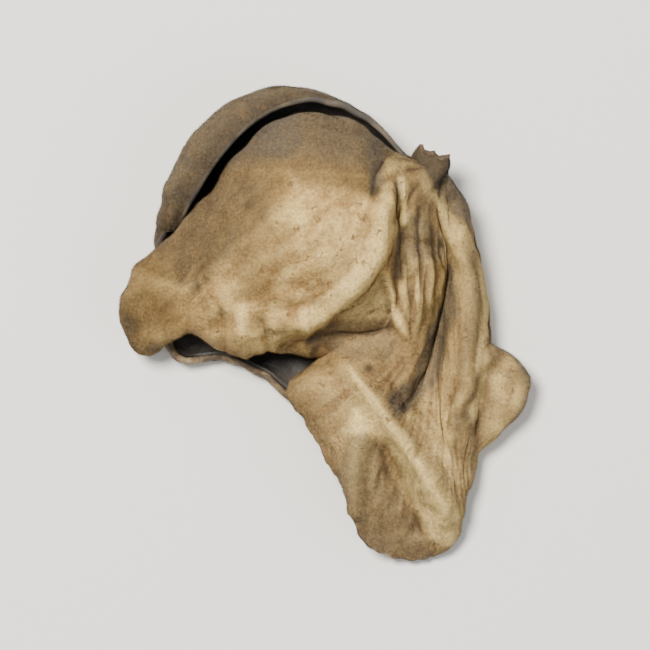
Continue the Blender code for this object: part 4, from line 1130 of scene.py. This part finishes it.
def driedSkinGroup():
    # colour and relief of the dried back, the same for the skin and for its hairs
    name = "dried skin"
    if name in bpy.data.node_groups:
        return bpy.data.node_groups[name]
    group = bpy.data.node_groups.new(name, "ShaderNodeTree")
    for socket in ("Place", "Fan"):
        group.interface.new_socket(socket, in_out="INPUT", socket_type="NodeSocketVector")
    for mask in maskNames:
        group.interface.new_socket(mask.capitalize(), in_out="INPUT", socket_type="NodeSocketFloat")
    group.interface.new_socket("Colour", in_out="OUTPUT", socket_type="NodeSocketColor")
    group.interface.new_socket("Relief", in_out="OUTPUT", socket_type="NodeSocketFloat")
    group.interface.new_socket("Wear", in_out="OUTPUT", socket_type="NodeSocketFloat")
    start = newNode(group, "NodeGroupInput", (-1500, 0))
    end = newNode(group, "NodeGroupOutput", (1600, 0))

    fields = {}
    for order, field in enumerate(("patch", "mottle", "streak", "zone")):
        scale, share = backLook[field]
        if isinstance(scale, tuple):
            stretched = stretchNode(group, (-1300, -250 * order), start.outputs["Fan"], scale)
            fields[field] = noiseNode(group, (-1100, -250 * order), stretched, 1.0)
        else:
            fields[field] = noiseNode(group, (-1100, -250 * order), start.outputs["Place"], scale, 6.0)
    tone = backLook["balance"]
    for order, field in enumerate(fields):
        part = mathNode(group, (-900, -250 * order), "MULTIPLY", fields[field], backLook[field][1])
        tone = mathNode(group, (-720 + 160 * order, 300), "ADD", part, tone)
    shades = [backLook[shade] for shade in ("umber", "tan", "buff", "cream")]
    colour = rampNode(group, (20, 300), tuple(zip(backLook["stops"], shades)), tone)

    uneven = rangeNode(group, (20, -300), fields["mottle"], *backLook["uneven"])
    # each mask blends its colour in: painted shade in the hollows and on shaded planes, painted
    # highlight on lit ridges, besides stains, grime and wear
    for order, mask in enumerate(("crest", "crease", "margin", "stain", "grime", "pale", "stub")):
        shade, strength = backLook[mask]
        source = start.outputs[mask.capitalize()]
        share = mathNode(group, (300 + 180 * order, -100), "MULTIPLY", source, strength)
        if mask in ("margin", "stain", "grime", "pale"):
            share = mathNode(group, (300 + 180 * order, -280), "MULTIPLY", share, uneven, True)
        colour = blendNode(group, (300 + 180 * order, 300), share, colour, shade)
    scale, begin, full, strength = backLook["speck"]
    speck = noiseNode(group, (700, -700), start.outputs["Place"], scale, 2.0)
    speck = rampNode(group, (900, -700), ((begin, (0, 0, 0, 1)), (full, (strength,) * 3 + (1,))), speck)
    colour = blendNode(group, (1240, 480), speck, colour, backLook["umber"])
    grain = noiseNode(group, (1100, -500), start.outputs["Place"], backLook["grain"], 3.0)
    grainTone = rampNode(group, (1250, 0), backLook["grainStops"], grain)
    colour = blendNode(group, (1400, 300), 1.0, colour, grainTone, "MULTIPLY")
    grainShare, mottleShare = backLook["relief"]
    relief = mathNode(group, (1250, -500), "ADD",
                      mathNode(group, (1250, -650), "MULTIPLY", grain, grainShare),
                      mathNode(group, (1250, -800), "MULTIPLY", fields["mottle"], mottleShare))
    group.links.new(colour, end.inputs["Colour"])
    group.links.new(relief, end.inputs["Relief"])
    group.links.new(tone, end.inputs["Wear"])
    return group


def newFinish(name):
    material = bpy.data.materials.new(name)
    material.use_nodes = True
    tree = material.node_tree
    shader = tree.nodes["Principled BSDF"]
    shader.location = (700, 200)
    tree.nodes["Material Output"].location = (1000, 200)
    return material, tree, shader


def skinNodes(tree):
    skin = newNode(tree, "ShaderNodeGroup", (200, 200))
    skin.node_tree = driedSkinGroup()
    place = newNode(tree, "ShaderNodeTexCoord", (-300, 300))
    tree.links.new(place.outputs["Object"], skin.inputs["Place"])
    tree.links.new(attributeNode(tree, (-300, 50), "fan", "Vector"), skin.inputs["Fan"])
    for order, name in enumerate(maskNames):
        source = attributeNode(tree, (-300, -150 - 180 * order), name)
        tree.links.new(source, skin.inputs[name.capitalize()])
    return skin


def bumpNode(tree, place, height, distance, strength=1.0):
    node = newNode(tree, "ShaderNodeBump", place)
    node.inputs["Distance"].default_value = distance
    node.inputs["Strength"].default_value = strength
    tree.links.new(height, node.inputs["Height"])
    return node.outputs["Normal"]


def rangeNode(tree, place, value, low, high):
    node = newNode(tree, "ShaderNodeMapRange", place)
    node.inputs["To Min"].default_value = low
    node.inputs["To Max"].default_value = high
    tree.links.new(value, node.inputs["Value"])
    return node.outputs["Result"]


def velvetyBack():
    material, tree, shader = newFinish("velvety_back")
    skin = skinNodes(tree)
    tree.links.new(skin.outputs["Colour"], shader.inputs["Base Color"])
    roughness = rangeNode(tree, (450, 0), skin.outputs["Wear"], *backLook["roughness"])
    tree.links.new(roughness, shader.inputs["Roughness"])
    bumps = bumpNode(tree, (450, -250), skin.outputs["Relief"], *backLook["bump"])
    tree.links.new(bumps, shader.inputs["Normal"])
    shader.inputs["Specular IOR Level"].default_value = backLook["specular"]
    for name, value in backLook["sheen"].items():
        shader.inputs["Sheen " + name].default_value = value
    return material


# The hairs have the colour of the skin below them, darker at the root and paler at the tip.
hairLook = {
    "root": (0.80, 0.78, 0.74, 1),
    "tip": (1.34, 1.27, 1.05, 1),
    "roughness": 0.80,
    "specular": 0.20,
}


def velvetHair():
    name = "velvet_hair"
    if name in bpy.data.materials:
        return bpy.data.materials[name]
    material, tree, shader = newFinish(name)
    skin = skinNodes(tree)
    rise = attributeNode(tree, (-300, -1100), "rise")
    lighter = rampNode(tree, (200, -500), ((0.0, hairLook["root"]), (1.0, hairLook["tip"])), rise)
    colour = blendNode(tree, (450, 300), 1.0, skin.outputs["Colour"], lighter, "MULTIPLY")
    tree.links.new(colour, shader.inputs["Base Color"])
    shader.inputs["Roughness"].default_value = hairLook["roughness"]
    shader.inputs["Specular IOR Level"].default_value = hairLook["specular"]
    return material


# The smooth face inside the fold.
faceLook = {
    "black": (0.0095, 0.0092, 0.0086, 1),
    "brown": (0.030, 0.024, 0.018, 1),
    # the grey bloom is partly a painted sheen on the dark face, stronger on the raised veins
    "bloomAndSheen": (0.088, 0.092, 0.094, 1),   # thin grey bloom on the raised veins
    "bloomAndSheenShare": 0.36,
    "veil": (-0.30, 0.85),
    "cloud": 160.0,
    "fleck": 1300.0,
    "veins": (0.9, 0.16, 0.0),           # across and along the ribs, per millimetre
    "roughness": (0.42, 0.62),
    "specular": 0.38,
    "relief": (0.00022, 0.7, 0.3),       # height, strength, share of the flecks
}


def satinFace():
    material, tree, shader = newFinish("satin_face")
    place = newNode(tree, "ShaderNodeTexCoord", (-700, 200)).outputs["Object"]
    cloud = noiseNode(tree, (-480, 300), place, faceLook["cloud"], 5.0, 0.6, 0.6)
    fleck = noiseNode(tree, (-480, 50), place, faceLook["fleck"], 4.0, 0.6)
    fan = attributeNode(tree, (-900, -250), "fan", "Vector")
    stretched = stretchNode(tree, (-700, -250), fan, faceLook["veins"])
    vein = noiseNode(tree, (-480, -250), stretched, 1.0, 5.0, 0.6, 0.5)
    stops = ((0.30, faceLook["black"]), (0.72, faceLook["brown"]))
    colour = rampNode(tree, (-200, 300), stops, cloud)
    veil = mathNode(tree, (-200, 0), "MULTIPLY", vein, fleck)
    veil = rangeNode(tree, (-20, 0), veil, *faceLook["veil"])
    share = mathNode(tree, (150, 0), "MULTIPLY", veil, faceLook["bloomAndSheenShare"], True)
    colour = blendNode(tree, (200, 300), share, colour, faceLook["bloomAndSheen"])
    tree.links.new(colour, shader.inputs["Base Color"])
    roughness = rangeNode(tree, (200, 80), cloud, *faceLook["roughness"])
    tree.links.new(roughness, shader.inputs["Roughness"])
    height, strength, fleckShare = faceLook["relief"]
    flecks = mathNode(tree, (0, -250), "MULTIPLY", fleck, fleckShare)
    bumps = mathNode(tree, (200, -250), "ADD", flecks, vein)
    bumps = bumpNode(tree, (450, -250), bumps, height, strength)
    tree.links.new(bumps, shader.inputs["Normal"])
    shader.inputs["Specular IOR Level"].default_value = faceLook["specular"]
    return material


# The rim, where the sheet shows its thickness.
rimLook = {
    "stops": ((0.34, (0.026, 0.018, 0.011, 1)), (0.50, (0.090, 0.060, 0.030, 1)),
              (0.68, (0.300, 0.222, 0.122, 1))),
    "cloud": 360.0,
    "fine": 3600.0,
    # painted shade: the rim of the rolled side is darkened beside the gap, partly as its darker margin
    "old": (0.046, 0.043, 0.038, 1),     # the rim of the rolled side
    "roughness": (0.60, 0.85),
    "relief": (0.00008, 0.8),
}


def driedRim():
    material, tree, shader = newFinish("dried_rim")
    place = newNode(tree, "ShaderNodeTexCoord", (-500, 200)).outputs["Object"]
    cloud = noiseNode(tree, (-280, 200), place, rimLook["cloud"], 5.0, 0.6)
    fine = noiseNode(tree, (-280, -50), place, rimLook["fine"], 3.0, 0.6)
    colour = rampNode(tree, (0, 200), rimLook["stops"], cloud)
    colour = blendNode(tree, (400, 300), attributeNode(tree, (0, 500), "stub"), colour, rimLook["old"])
    tree.links.new(colour, shader.inputs["Base Color"])
    roughness = rangeNode(tree, (200, 0), cloud, *rimLook["roughness"])
    tree.links.new(roughness, shader.inputs["Roughness"])
    tree.links.new(bumpNode(tree, (300, -200), fine, *rimLook["relief"]), shader.inputs["Normal"])
    return material


# The cut end of the stub.
cutLook = {
    "stops": ((0.25, (0.022, 0.013, 0.008, 1)), (0.50, (0.095, 0.056, 0.030, 1)),
              (0.75, (0.210, 0.152, 0.088, 1))),
    "fibre": 1500.0,
    "roughness": 0.9,
    "relief": (0.00030, 1.0),
}


def cutStub():
    material, tree, shader = newFinish("cut_stub")
    place = newNode(tree, "ShaderNodeTexCoord", (-500, 200)).outputs["Object"]
    fibre = noiseNode(tree, (-280, 200), place, cutLook["fibre"], 6.0, 0.7, 1.2)
    tree.links.new(rampNode(tree, (0, 200), cutLook["stops"], fibre), shader.inputs["Base Color"])
    shader.inputs["Roughness"].default_value = cutLook["roughness"]
    tree.links.new(bumpNode(tree, (300, -200), fibre, *cutLook["relief"]), shader.inputs["Normal"])
    return material


# Light places are followed by size, power and colour.
studio = {
    "floorColour": (0.80, 0.79, 0.77, 1),
    "floorSize": 3.0,
    "worldColour": (0.94, 0.97, 1.0, 1),
    "worldStrength": 0.40,
    "key": ((-0.16, 0.15, 0.63), 0.20, 10.2, (1.0, 0.955, 0.87)),
    "fill": ((0.50, -0.22, 0.60), 0.60, 2.0, (1.0, 0.97, 0.92)),
    "cameraHeight": 0.62,
    "lens": 248.0,
    "sensor": 36.0,
}


def makeFloor():
    material, tree, shader = newFinish("studio_floor")
    shader.inputs["Base Color"].default_value = studio["floorColour"]
    shader.inputs["Roughness"].default_value = 0.85
    mesh = bpy.data.meshes.new("studio_floor")
    half = studio["floorSize"] / 2
    corners = [(-half, -half, 0), (half, -half, 0), (half, half, 0), (-half, half, 0)]
    mesh.from_pydata(corners, [], [(0, 1, 2, 3)])
    mesh.materials.append(material)
    floor = bpy.data.objects.new("studio_floor", mesh)
    floor.location.z = solidBox[0].z - 0.00005
    bpy.context.scene.collection.objects.link(floor)


def makeLight(name, target):
    place, size, power, colour = studio[name]
    lamp = bpy.data.lights.new(name, "AREA")
    lamp.shape = "DISK"
    lamp.size = size
    lamp.energy = power
    lamp.color = colour
    light = bpy.data.objects.new(name, lamp)
    light.location = place
    light.rotation_euler = (Vector(place) - target).to_track_quat("Z", "Y").to_euler()
    bpy.context.scene.collection.objects.link(light)


def makeStudio():
    makeFloor()
    world = bpy.data.worlds.new("studio")
    world.use_nodes = True
    sky = world.node_tree.nodes["Background"]
    sky.inputs["Color"].default_value = studio["worldColour"]
    sky.inputs["Strength"].default_value = studio["worldStrength"]
    bpy.context.scene.world = world
    middle = (Vector(solidBox[0]) + Vector(solidBox[1])) / 2
    makeLight("key", middle)
    makeLight("fill", middle)
    lens = bpy.data.cameras.new("camera")
    lens.lens = studio["lens"]
    lens.sensor_width = studio["sensor"]
    lens.clip_start = 0.01
    camera = bpy.data.objects.new("camera", lens)
    camera.location = (middle.x, middle.y, studio["cameraHeight"])
    bpy.context.scene.collection.objects.link(camera)
    bpy.context.scene.camera = camera


sheet = makeSheet()
print("sheet drawn")
ear = makeEar(sheet)
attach(ear, "root")
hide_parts("wood_ear")
print("ear built")
for hair in growVelvet(sheet):
    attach(hair, "root")
    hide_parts("wood_ear")
print("velvet grown")
makeStudio()
print("studio set")
